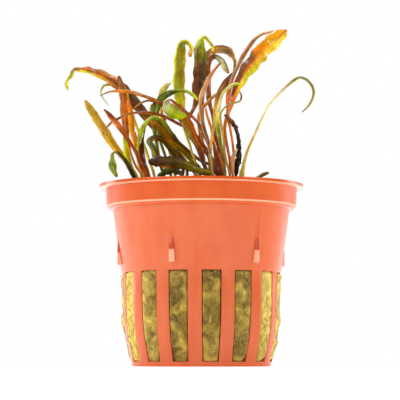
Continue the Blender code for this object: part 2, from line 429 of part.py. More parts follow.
def leaf(name, crown_name, root, colour, depths, turns, points, collection):
    """A strip along the leaf's line, folded a little at its midrib, with its thickness."""
    angle = math.radians(root)
    across, depth = CROWNS[crown_name]
    reach = ROOT_RADIUS
    line = [Vector((across + reach * math.cos(angle), depth + reach * math.sin(angle), CROWN_TOP + ROOT_GAP))]
    widths = [STALK_WIDTH]
    for index, (point_across, point_up, width) in enumerate(points):
        line.append(seen_point(point_across, point_up, blend(depths, index / (len(points) - 1))))
        widths.append(width)
    columns = 2 if max(widths) > NARROW else 1
    rows = len(line) - 1
    bm = bmesh.new()
    bmesh.ops.create_grid(bm, x_segments=columns, y_segments=rows, size=0.5)
    for corner in bm.verts:
        place = corner.co.y + 0.5
        side_share = corner.co.x * 2
        along = (blend(line, place + TANGENT_STEP) - blend(line, place - TANGENT_STEP)).normalized()
        facing = Vector((0.0, 1.0, 0.0)).cross(along).normalized()
        turn = math.radians(blend(turns, max(0.0, place * len(line) - 1) / (len(line) - 1)))
        side = facing * math.cos(turn) + along.cross(facing) * math.sin(turn)
        half = max(blend(widths, place), NARROWEST) / 2
        rise = along.cross(side) * (abs(side_share) * BLADE_FOLD * half)
        corner.co = (blend(line, place) + side * (side_share * half) + rise) * MM
    made = add_object(name, bm, collection, colour, 0.4)
    wall = made.modifiers.new("thickness", "SOLIDIFY")
    wall.thickness = LEAF_THICKNESS * MM
    wall.offset = 0.0
    return made


def build():
    clear_scene()
    parts = new_collection(COLLECTION)
    cutters = new_collection(CUTTERS)
    net_pot(parts, cutters)
    rock_wool(parts, cutters)
    for name, centre in CROWNS.items():
        crown(f"crown_{name}", centre, parts)
    for row in LEAVES:
        leaf(*row, parts)


build()
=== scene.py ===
import math
import random

import bmesh
import bpy
from mathutils import Matrix, Vector, noise


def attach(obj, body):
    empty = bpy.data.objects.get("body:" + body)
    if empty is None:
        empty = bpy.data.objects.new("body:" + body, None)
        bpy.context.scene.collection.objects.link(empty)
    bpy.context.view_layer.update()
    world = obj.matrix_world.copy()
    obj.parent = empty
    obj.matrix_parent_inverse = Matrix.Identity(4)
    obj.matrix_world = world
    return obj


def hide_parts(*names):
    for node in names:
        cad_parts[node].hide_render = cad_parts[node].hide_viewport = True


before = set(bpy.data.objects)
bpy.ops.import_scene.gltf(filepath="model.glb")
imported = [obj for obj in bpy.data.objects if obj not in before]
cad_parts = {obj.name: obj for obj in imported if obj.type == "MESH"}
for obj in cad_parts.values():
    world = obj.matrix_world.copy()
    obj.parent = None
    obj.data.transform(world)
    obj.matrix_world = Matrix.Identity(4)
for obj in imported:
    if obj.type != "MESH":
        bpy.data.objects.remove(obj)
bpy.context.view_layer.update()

MM = 0.001
BODY = "root"
ROOM_FRONT, ROOM_BACK, ROOM_LEFT = 0.42, 1.0, 0.28

# Pot, in mm
LIP_RADIUS, LIP_FOOT = 28.05, 48.7
COLLAR_TOP_RADIUS, COLLAR_FOOT_RADIUS, COLLAR_FOOT = 26.3, 26.0, 43.9
STEP_RADIUS, STEP_FOOT = 24.2, 42.7
SLOT_TOP, SLOT_FOOT, WALL_FOOT_RADIUS, WALL_FOOT = 25.5, 1.35, 21.9, 25.9
BARREL = ((21.6, 25.5), (21.52, 22.0), (21.45, 18.0), (21.35, 15.0), (21.2, 12.0), (20.97, 10.0), (20.7, 8.0),
          (20.28, 6.0), (19.8, 4.0), (19.55, 2.7), (19.25, 1.35))
BASE_RADIUS, BASE_CHAMFER = 19.05, 0.3
WALL = 0.95
RIBS, RIB_WIDTH, RIB_ANGLE = 15, 3.7, -4.7
RIB_COLUMNS, SLOT_COLUMNS = 4, 4
LUGS, LUG_ANGLE = 6, -20.0
LUG_FOOT, LUG_BEND, LUG_TOP = 27.6, 30.9, 34.2
LUG_WIDTH, LUG_TOP_WIDTH, LUG_REACH, LUG_LEDGE = 1.35, 0.9, 0.6, 0.05
BASE_HOLES, BASE_HOLE_INNER, BASE_HOLE_OUTER, BASE_HOLE_WIDTH = 8, 8.0, 16.0, 3.0
EDGE_ROUNDING = 0.12

# Rock wool, in mm
WOOL_TOP, WOOL_FOOT, WOOL_TOP_RADIUS = 41.2, 1.05, 22.4
WOOL_SEGMENTS, WOOL_RINGS = 300, 200
FIBRES = 2600

# Crowns, in mm
CROWN_FOOT, CROWN_TOP = 36.5, 44.6
CROWN_FOOT_RADIUS, CROWN_TOP_RADIUS = 3.3, 2.5
ROOT_RADIUS, ROOT_GAP, ROOT_DEPTH = 1.9, 0.6, 2.4
CROWNS = {
    "left": (-13.0, 0.5),
    "left_front": (-14.5, -6.7),
    "back": (-6.0, 7.0),
    "middle": (0.5, -3.5),
    "front": (8.0, -8.5),
    "right": (9.5, 2.5),
}

# Leaves are laid out on the plane of the pot's axis as the eye sees them, in mm
EYE_DISTANCE, EYE_ACROSS, EYE_HEIGHT = 522.0, -0.36, 1.27
STALK_WIDTH, NARROWEST, BLADE_FOLD = 0.75, 0.25, 0.42
TANGENT_STEP = 0.01
LEAF_COLUMNS, ROW_PITCH = 32, 0.4

# sRGB colours, 0 to 255
PALETTE = {
    "black": (32, 22, 8), "deep_brown": (72, 38, 6), "brown": (132, 70, 4), "red_brown": (146, 66, 4),
    "maroon": (108, 46, 4), "amber": (176, 106, 2), "rust": (186, 88, 4), "orange": (220, 122, 4),
    "bright_orange": (236, 150, 6), "gold": (202, 158, 2), "yellow": (230, 198, 8), "pale_yellow": (224, 210, 92),
    "olive": (130, 116, 4), "dark_olive": (70, 60, 4), "deep_green": (66, 80, 4), "green": (112, 132, 4),
    "leaf_green": (148, 164, 8), "yellow_green": (190, 192, 4), "pale_green": (188, 194, 92),
    "silver": (206, 202, 180), "grey_green": (122, 122, 72), "grey_brown": (112, 84, 56), "mauve": (128, 78, 48),
    "dusky": (92, 56, 36), "pink": (196, 136, 100), "blush": (222, 184, 156), "tan": (188, 134, 60),
    "straw": (206, 168, 52), "bronze": (178, 134, 4), "peach": (218, 158, 112), "white": (232, 226, 206),
}

# name, crown, root angle about the crown, finish, depths, turns, points (across, up, width) in mm
LEAVES = (
    ("leaf_upright_brown", "left", 235, "brown", (-2, -1, 0, 2, 4, 6), (10, 0, -15, -10), (
        (-16.2, 52.2, 0.8), (-18.0, 55.0, 0.7), (-19.3, 58.0, 0.7), (-20.2, 62.0, 0.8), (-20.8, 66.0, 1.9),
        (-21.2, 70.0, 2.9), (-21.4, 74.0, 2.7), (-22.2, 77.5, 1.9), (-22.9, 80.2, 0.7))),
    ("leaf_yellow_strap", "left_front", 130, "orange", (-5, -5.5, -6, -7), (0, 10, 25), (
        (-16.0, 52.6, 0.9), (-17.0, 55.0, 0.9), (-17.8, 58.5, 0.9), (-18.3, 61.5, 1.2), (-18.9, 64.0, 1.4),
        (-19.3, 68.0, 1.7), (-19.6, 71.0, 1.5), (-20.3, 73.4, 0.6))),
    ("leaf_orange_point", "left_front", 180, "orange", (-6.5, -7, -8), (0, 20), (
        (-16.6, 54.5, 0.7), (-17.4, 58.0, 0.9), (-17.9, 61.5, 1.1), (-18.2, 64.6, 0.4))),
    ("leaf_red_diagonal", "left_front", 275, "brown", (-8.5, -10, -11, -13), (0, 20, 10), (
        (-14.9, 52.2, 1.2), (-16.3, 55.0, 1.2), (-18.0, 58.8, 0.9), (-20.0, 62.3, 1.2), (-22.5, 66.0, 1.7),
        (-24.5, 68.3, 1.6), (-25.5, 69.5, 1.2), (-26.9, 70.8, 0.4))),
    ("leaf_yellow_green", "left", 200, "green", (-3, -3.5, -3.5), (0, -20), (
        (-17.8, 52.3, 0.8), (-19.2, 54.4, 1.2), (-20.5, 57.5, 1.7), (-20.9, 60.0, 1.6), (-21.2, 62.0, 1.2),
        (-21.4, 63.4, 0.4))),
    ("leaf_folded_olive", "left_front", 220, "olive", (-9, -12, -14, -14, -13), (20, 30, 70, 10, 0), (
        (-18.4, 52.0, 1.4), (-20.3, 55.8, 1.4), (-22.2, 58.2, 1.3), (-23.6, 59.0, 1.6), (-24.9, 58.4, 2.2),
        (-24.9, 56.5, 2.5), (-24.4, 54.4, 2.2), (-23.7, 53.0, 1.2), (-23.2, 52.0, 0.8))),
    ("leaf_straight_yellow", "left", 165, "yellow", (1, 3, 6, 9), (0, -10, -20), (
        (-18.3, 52.6, 0.8), (-21.2, 57.0, 1.6), (-24.5, 61.2, 2.2), (-26.5, 64.3, 2.6), (-28.7, 67.7, 2.4),
        (-30.4, 70.3, 2.1), (-31.6, 72.2, 1.6), (-32.2, 73.3, 0.5))),
    ("leaf_dark_red", "left", 275, "dark", (-4, -4, -4), (0, 20), (
        (-14.6, 52.4, 1.2), (-15.5, 55.0, 1.3), (-16.2, 57.5, 1.6), (-16.5, 60.0, 1.6), (-16.2, 61.7, 0.8),
        (-15.9, 63.3, 0.4), (-15.4, 65.6, 0.3))),
    ("leaf_green_curl", "left", 60, "green", (2, 7, 13, 15, 16), (0, 0, 10, 60, 30), (
        (-13.0, 52.5, 0.8), (-14.2, 56.0, 0.8), (-15.3, 59.5, 0.8), (-16.9, 63.5, 0.8), (-18.6, 68.0, 0.9),
        (-20.0, 73.0, 1.0), (-21.4, 76.6, 1.2), (-23.6, 77.9, 1.5), (-25.5, 77.9, 1.3), (-27.0, 77.3, 0.9),
        (-27.8, 75.6, 0.5), (-27.3, 74.0, 0.4), (-26.4, 72.9, 0.3), (-25.6, 71.8, 0.2))),
    ("leaf_left_arch", "back", 170, "brown", (8, 6, 6, 8, 14, 18), (0, 0, 0, 20, 40), (
        (-5.0, 54.0, 1.0), (-7.5, 58.0, 1.2), (-10.5, 62.5, 1.6), (-13.4, 66.5, 2.2), (-16.3, 70.2, 2.7),
        (-18.9, 73.3, 3.0), (-21.8, 76.6, 3.1), (-24.5, 78.8, 2.9), (-28.3, 80.9, 2.4), (-32.3, 82.0, 2.0),
        (-35.0, 81.8, 1.4), (-36.6, 79.6, 1.2), (-37.3, 77.6, 1.2), (-36.9, 75.9, 0.4))),
    ("leaf_thin_arch_green", "back", 210, "green", (5, 3, 1, 0, -1, -2), (0, 0, 20, 60, 60), (
        (-10.5, 53.0, 0.9), (-11.6, 57.0, 1.0), (-12.4, 62.0, 1.2), (-12.9, 67.0, 2.0), (-12.9, 70.5, 2.6),
        (-12.7, 72.4, 2.0), (-13.2, 73.1, 1.0), (-14.6, 73.3, 0.7), (-16.3, 72.8, 0.6), (-17.7, 71.9, 0.5),
        (-18.5, 71.2, 0.3))),
    ("leaf_green_arch", "back", 250, "green", (3, 0, -3, -5, -7, -8), (0, 0, 0, 40, 20), (
        (-8.5, 53.0, 0.8), (-10.0, 58.0, 0.8), (-11.6, 63.0, 0.9), (-12.2, 68.0, 0.9), (-11.9, 71.5, 1.3),
        (-11.2, 73.8, 2.0), (-9.6, 75.0, 1.9), (-7.6, 75.7, 1.2), (-6.0, 75.9, 0.9), (-4.5, 75.8, 0.9),
        (-3.0, 75.2, 1.1), (-1.9, 74.3, 0.9), (-1.0, 73.3, 0.4))),
    ("leaf_small_pale", "back", 90, "tan", (9, 9, 6, 4), (0, 0, 30), (
        (-7.4, 53.5, 0.7), (-9.0, 60.0, 0.8), (-10.6, 67.0, 0.9), (-11.1, 72.0, 1.2), (-10.9, 75.0, 1.8),
        (-9.9, 77.0, 1.6), (-8.4, 78.2, 0.7))),
    ("leaf_hanging_striped", "back", 290, "olive", (3, 0, -3, -6, -7), (0, 0, 10, 50, 0), (
        (-3.9, 53.6, 0.9), (-5.8, 57.0, 1.1), (-7.6, 60.0, 1.4), (-9.4, 61.9, 1.7), (-11.6, 62.8, 1.5),
        (-13.4, 62.9, 1.6), (-14.6, 62.0, 2.1), (-13.9, 60.3, 2.4), (-13.0, 58.6, 2.2), (-12.4, 57.2, 1.2))),
    ("leaf_wide_amber", "middle", 150, "brown", (0, -2, -5, -7), (0, 0, 15), (
        (-0.4, 53.5, 1.0), (-2.0, 56.0, 1.4), (-4.5, 58.8, 2.0), (-6.5, 60.8, 2.5), (-8.5, 63.0, 2.9),
        (-10.3, 65.2, 3.1), (-12.0, 66.6, 3.0), (-13.6, 67.3, 2.2), (-14.8, 67.4, 0.7))),
    ("leaf_tall_olive", "middle", 190, "yellow", (-7, -7, -5, -1, 3, 4, 3), (0, 0, 0, 0, 0, 60, 20), (
        (-1.6, 55.7, 0.6), (-2.5, 58.5, 0.6), (-3.3, 61.3, 0.7), (-4.3, 64.3, 0.8), (-5.0, 68.0, 1.4),
        (-5.6, 71.5, 2.3), (-6.0, 75.0, 3.0), (-6.2, 79.0, 3.3), (-6.0, 83.0, 3.2), (-5.8, 86.3, 3.1),
        (-5.2, 88.4, 2.8), (-4.2, 89.2, 2.0), (-3.4, 88.3, 1.6), (-3.1, 86.8, 1.6), (-3.1, 85.4, 0.7))),
    ("leaf_tall_dark", "middle", 275, "dark", (-5, -5.5, -4.5, -2, 2, 6, 8, 8), (0, 0, 30, 0, 0, 0, 60, 40), (
        (1.5, 53.3, 0.9), (0.4, 56.0, 0.9), (-0.7, 59.3, 1.0), (-1.8, 61.8, 1.1), (-3.0, 64.5, 1.4),
        (-3.6, 67.0, 1.3), (-3.1, 69.0, 1.0), (-2.0, 71.2, 1.1), (-1.2, 73.8, 2.0), (-1.0, 76.5, 3.1),
        (-0.5, 80.0, 3.5), (-0.4, 84.0, 3.7), (-0.3, 87.4, 3.6), (0.1, 89.7, 2.8), (1.0, 90.7, 1.7),
        (2.0, 89.6, 1.5), (2.8, 88.2, 1.2), (3.3, 87.0, 0.4))),
    ("leaf_low_olive", "middle", 230, "olive", (-10, -12, -15, -17), (0, 10, 0), (
        (2.7, 52.5, 1.1), (0.0, 53.6, 1.8), (-2.0, 54.6, 2.2), (-4.5, 55.5, 2.7), (-7.0, 56.1, 3.1),
        (-9.5, 56.3, 3.4), (-12.0, 56.3, 2.9), (-13.6, 56.3, 1.8), (-14.5, 56.2, 0.5))),
    ("leaf_long_brown_arch", "middle", 55, "brown", (1, -1, -8, -13, -17), (0, 10, 30, 40, 40), (
        (2.2, 56.2, 0.7), (0.3, 59.8, 0.8), (-2.0, 63.0, 0.9), (-5.0, 67.0, 1.0), (-8.0, 70.4, 1.1),
        (-10.5, 72.1, 1.2), (-13.0, 73.6, 1.2), (-16.0, 74.7, 1.3), (-19.0, 75.7, 1.3), (-22.0, 76.0, 1.1),
        (-25.0, 75.8, 0.6), (-26.5, 75.3, 0.5), (-28.0, 74.6, 0.3))),
    ("leaf_silver_fold", "middle", 340, "green", (-6, -8, -10, -11, -9.5, -9), (0, 10, 50, 90, 160, 170), (
        (2.6, 56.0, 0.6), (2.2, 60.0, 0.7), (1.0, 63.2, 0.8), (-0.4, 66.4, 0.8), (-2.7, 69.1, 1.0),
        (-4.8, 70.8, 1.5), (-6.6, 72.4, 2.0), (-8.4, 73.7, 2.6), (-10.1, 73.0, 3.4), (-9.9, 71.2, 3.9),
        (-8.1, 69.9, 3.7), (-6.0, 69.1, 2.6), (-4.0, 69.0, 0.8))),
    ("leaf_pink_edge", "middle", 305, "pink", (-7.5, -9, -10, -12, -14), (20, 60, 65, 60, 50), (
        (2.5, 53.5, 0.9), (2.4, 58.0, 0.9), (2.1, 62.0, 1.4), (1.4, 64.5, 2.0), (0.7, 67.5, 2.4),
        (0.2, 70.5, 2.6), (0.1, 73.0, 2.4), (0.7, 75.5, 2.2), (1.8, 78.0, 1.9), (2.8, 80.0, 1.6),
        (4.0, 82.0, 1.2), (5.6, 84.0, 0.4))),
    ("leaf_thin_red_arch", "middle", 10, "brown", (-3.2, -2.2, -6.5, -12, -16, -19), (0, 20, 30, 40, 50), (
        (3.4, 55.0, 0.8), (2.0, 58.8, 1.0), (0.0, 61.5, 1.1), (-2.0, 64.2, 1.1), (-4.3, 66.0, 1.1),
        (-6.5, 67.0, 1.1), (-8.5, 68.1, 1.1), (-11.0, 69.2, 1.0), (-14.0, 69.9, 0.9), (-17.0, 70.0, 0.9),
        (-20.0, 69.6, 0.9), (-23.0, 68.3, 0.9), (-24.8, 67.2, 0.8), (-26.3, 65.6, 0.5), (-27.0, 64.4, 0.4),
        (-26.7, 63.5, 0.3))),
    ("leaf_orange_branch", "middle", 90, "orange", (0, -1.5, -3.5, -3.5), (0, 0, 30), (
        (0.9, 55.5, 0.7), (0.2, 60.0, 0.8), (-0.4, 63.8, 0.8), (-0.8, 67.5, 0.9), (-0.5, 69.8, 0.9),
        (0.5, 71.3, 0.9), (1.6, 72.5, 0.9), (3.0, 74.0, 0.9), (4.4, 75.0, 0.8), (5.4, 75.7, 0.4))),
    ("leaf_purple_brown", "front", 256, "brown", (-13, -11.5, -8.5, -5.5, -3), (0, 0, 10, 0, 20), (
        (3.4, 52.4, 0.6), (2.8, 56.0, 0.6), (2.6, 60.0, 0.7), (2.9, 63.0, 0.7), (3.5, 66.5, 0.9),
        (3.7, 69.5, 1.0), (4.2, 72.5, 1.2), (5.0, 75.0, 1.6), (6.0, 76.9, 2.0), (7.2, 78.6, 1.9),
        (8.4, 80.2, 1.2), (9.3, 81.3, 0.4))),
    ("leaf_hooked_brown", "front", 112, "dark", (-3, -2, -1, 1, 0, -3), (0, 0, 0, 10, 50, 20), (
        (5.9, 54.5, 0.9), (5.3, 58.0, 1.0), (4.6, 61.0, 1.1), (3.9, 63.5, 1.1), (3.5, 67.0, 1.0),
        (3.0, 69.8, 1.0), (2.4, 72.0, 1.1), (2.0, 75.0, 1.6), (1.9, 79.0, 1.5), (2.0, 82.5, 1.4),
        (2.6, 84.4, 1.7), (3.8, 85.1, 2.1), (5.2, 84.0, 2.5), (6.4, 82.4, 1.9), (7.6, 80.8, 0.5))),
    ("stalk_cut", "front", 172, "orange", (-8.6, -6, -4), (0, 0), (
        (6.5, 53.3, 0.9), (5.2, 56.6, 0.9), (4.0, 59.3, 0.9), (3.2, 62.5, 0.8), (2.9, 65.0, 0.8),
        (2.2, 67.2, 0.8), (1.6, 69.0, 0.7), (1.2, 71.2, 0.6))),
    ("leaf_tendril", "front", 290, "tan", (-13, -14, -14, -12, -11), (0, 0, 0, 20), (
        (7.9, 52.4, 0.6), (7.1, 55.5, 0.6), (6.5, 58.5, 0.6), (6.2, 62.0, 0.6), (5.7, 65.5, 0.6),
        (5.3, 68.0, 0.5), (5.4, 69.7, 0.5), (6.2, 71.0, 0.5), (7.4, 71.9, 0.5), (8.7, 72.5, 0.5),
        (10.0, 72.8, 0.5), (10.8, 73.3, 0.5), (11.1, 74.3, 0.5), (10.9, 75.2, 0.4), (10.4, 75.9, 0.3))),
    ("leaf_green_hanging", "right", 200, "green", (-1, -2, -5, -9, -12, -13, -12), (0, 0, 0, 20, 40, 10, 0), (
        (4.5, 54.5, 1.0), (2.5, 55.5, 0.9), (0.5, 56.2, 0.9), (-1.6, 57.6, 0.9), (-4.5, 60.0, 1.0),
        (-6.8, 62.0, 1.2), (-8.4, 64.0, 1.6), (-10.2, 66.8, 1.6), (-12.0, 68.3, 1.4), (-13.6, 68.6, 1.4),
        (-15.2, 67.4, 1.7), (-16.5, 65.3, 1.7), (-17.1, 63.0, 1.3), (-17.4, 61.0, 0.7), (-17.6, 59.2, 0.3))),
    ("leaf_thin_yellow_green", "front", 200, "green", (-9.5, -12, -13, -13, -12), (0, 0, 0, 30, 50), (
        (6.4, 55.5, 0.7), (5.8, 59.5, 0.8), (5.2, 62.0, 1.0), (4.7, 65.5, 1.3), (4.5, 68.0, 1.1),
        (4.7, 70.5, 1.1), (5.2, 72.8, 0.9), (5.9, 75.0, 0.8), (7.3, 76.6, 0.8), (8.7, 77.5, 0.9),
        (9.9, 77.9, 0.8), (11.2, 77.7, 0.3))),
    ("leaf_pink_strap", "right", 235, "pink", (0, -3, -5, -7, -10, -14), (0, 30, 60, 65, 60), (
        (9.0, 54.5, 0.7), (8.9, 59.0, 0.7), (8.6, 62.0, 0.7), (8.1, 65.3, 0.8), (7.6, 68.5, 1.2),
        (7.6, 72.0, 1.6), (7.9, 75.0, 2.0), (8.6, 78.0, 2.3), (9.6, 80.7, 2.4), (11.3, 84.2, 2.4),
        (13.0, 87.2, 2.2), (15.0, 90.0, 1.7), (17.0, 91.6, 1.2), (19.2, 92.3, 0.7), (20.1, 92.8, 0.3))),
    ("leaf_large_orange", "right", 160, "orange", (2, 2, 2, 3, 6, 9, 12), (0, 0, 0, 20, 20), (
        (7.9, 55.5, 0.8), (7.4, 59.0, 0.8), (6.7, 63.0, 0.9), (6.5, 66.0, 1.0), (7.3, 69.5, 1.1),
        (8.2, 72.0, 1.3), (9.2, 75.0, 1.8), (10.4, 78.0, 2.8), (12.3, 81.3, 3.7), (14.7, 84.1, 4.3),
        (17.2, 87.0, 4.6), (19.7, 89.2, 4.7), (21.6, 90.9, 4.1), (22.8, 92.1, 2.8), (23.7, 93.0, 0.5))),
    ("sheath_papery", "front", 350, "tan", (-8, -8, -8), (0, 20), (
        (8.8, 52.5, 0.8), (8.6, 55.0, 1.0), (8.7, 57.0, 1.3), (9.2, 58.5, 1.0), (9.9, 59.9, 0.4))),
    ("leaf_decayed", "right", 285, "dark", (-4, -5, -7, -9, -10), (0, 0, 20, 20), (
        (9.4, 52.4, 1.2), (9.8, 55.0, 1.7), (10.2, 58.0, 1.7), (10.3, 61.0, 1.2), (10.1, 63.8, 1.0),
        (9.6, 65.6, 1.1), (8.6, 67.3, 1.2), (7.4, 68.6, 1.0), (6.3, 69.3, 0.5))),
    ("leaf_right_loop", "right", 30, "yellow", (4, 6, 9, 13, 16, 17), (0, 0, 20, 30, 20, 10), (
        (11.1, 52.4, 1.5), (11.5, 54.5, 1.2), (12.0, 57.0, 0.9), (13.0, 60.0, 0.8), (14.6, 63.5, 0.7),
        (16.2, 67.0, 0.7), (18.2, 71.0, 0.7), (20.3, 73.7, 0.7), (22.2, 75.8, 0.7), (24.2, 77.7, 0.9),
        (25.8, 78.9, 1.0), (27.3, 79.6, 0.8), (29.2, 78.9, 0.8), (30.6, 77.2, 0.8), (31.0, 75.5, 0.8),
        (30.6, 73.6, 0.7), (29.4, 71.6, 0.6), (27.7, 69.9, 0.3))),
    ("leaf_amber_strap", "front", 143, "brown", (-8.3, -8.3, -8.5, -8, -7, -6.5), (0, 0, 10), (
        (2.4, 52.3, 0.9), (1.0, 54.8, 1.0), (0.1, 57.5, 1.2), (-0.9, 60.3, 1.6), (-2.2, 63.4, 2.4),
        (-3.4, 66.0, 2.9), (-4.6, 68.6, 2.8), (-5.6, 71.0, 2.0), (-6.2, 72.4, 0.6))),
    ("leaf_dark_strap", "middle", 121, "olive", (3.6, 5, 5, 4.4, 4), (0, 10, 0), (
        (-1.6, 53.0, 1.2), (-4.2, 55.8, 1.7), (-6.8, 58.6, 2.2), (-8.9, 61.4, 2.4), (-10.0, 64.4, 2.2),
        (-10.2, 67.2, 1.2), (-10.0, 69.0, 0.4))),
    ("leaf_dark_curl", "left_front", 325, "olive", (-8, -9.5, -11), (0, 20, 0), (
        (-11.6, 51.8, 1.3), (-10.2, 53.2, 2.0), (-8.2, 53.9, 2.3), (-6.4, 53.5, 1.8), (-5.2, 52.4, 0.6))),
    ("sheath_brown", "front", 225, "brown", (-11.5, -11, -10), (0, 10), (
        (5.2, 52.3, 2.4), (4.9, 54.8, 2.2), (4.3, 57.4, 1.6), (3.7, 60.0, 1.0), (3.2, 62.0, 0.4))),
    ("leaf_tip_at_rim", "right", 330, "olive", (0, -3, -6), (0, 10), (
        (14.5, 50.8, 0.9), (16.2, 52.2, 1.0), (17.5, 52.9, 1.0), (18.6, 53.2, 0.4))),
    ("leaf_tan_hood", "right", 120, "tan", (8, 9, 11, 13, 15, 16), (0, 0, 0, 30, 50, 20), (
        (0.9, 60.0, 0.8), (0.5, 66.0, 0.9), (0.2, 72.0, 1.2), (0.4, 78.0, 1.8), (1.0, 82.5, 2.2),
        (1.9, 85.6, 2.3), (3.2, 87.0, 2.2), (5.0, 87.5, 2.4), (6.8, 87.0, 2.6), (8.1, 85.9, 2.4),
        (8.9, 84.3, 1.6), (9.1, 82.5, 0.9), (8.8, 81.0, 0.7), (8.2, 80.1, 0.3))),
)

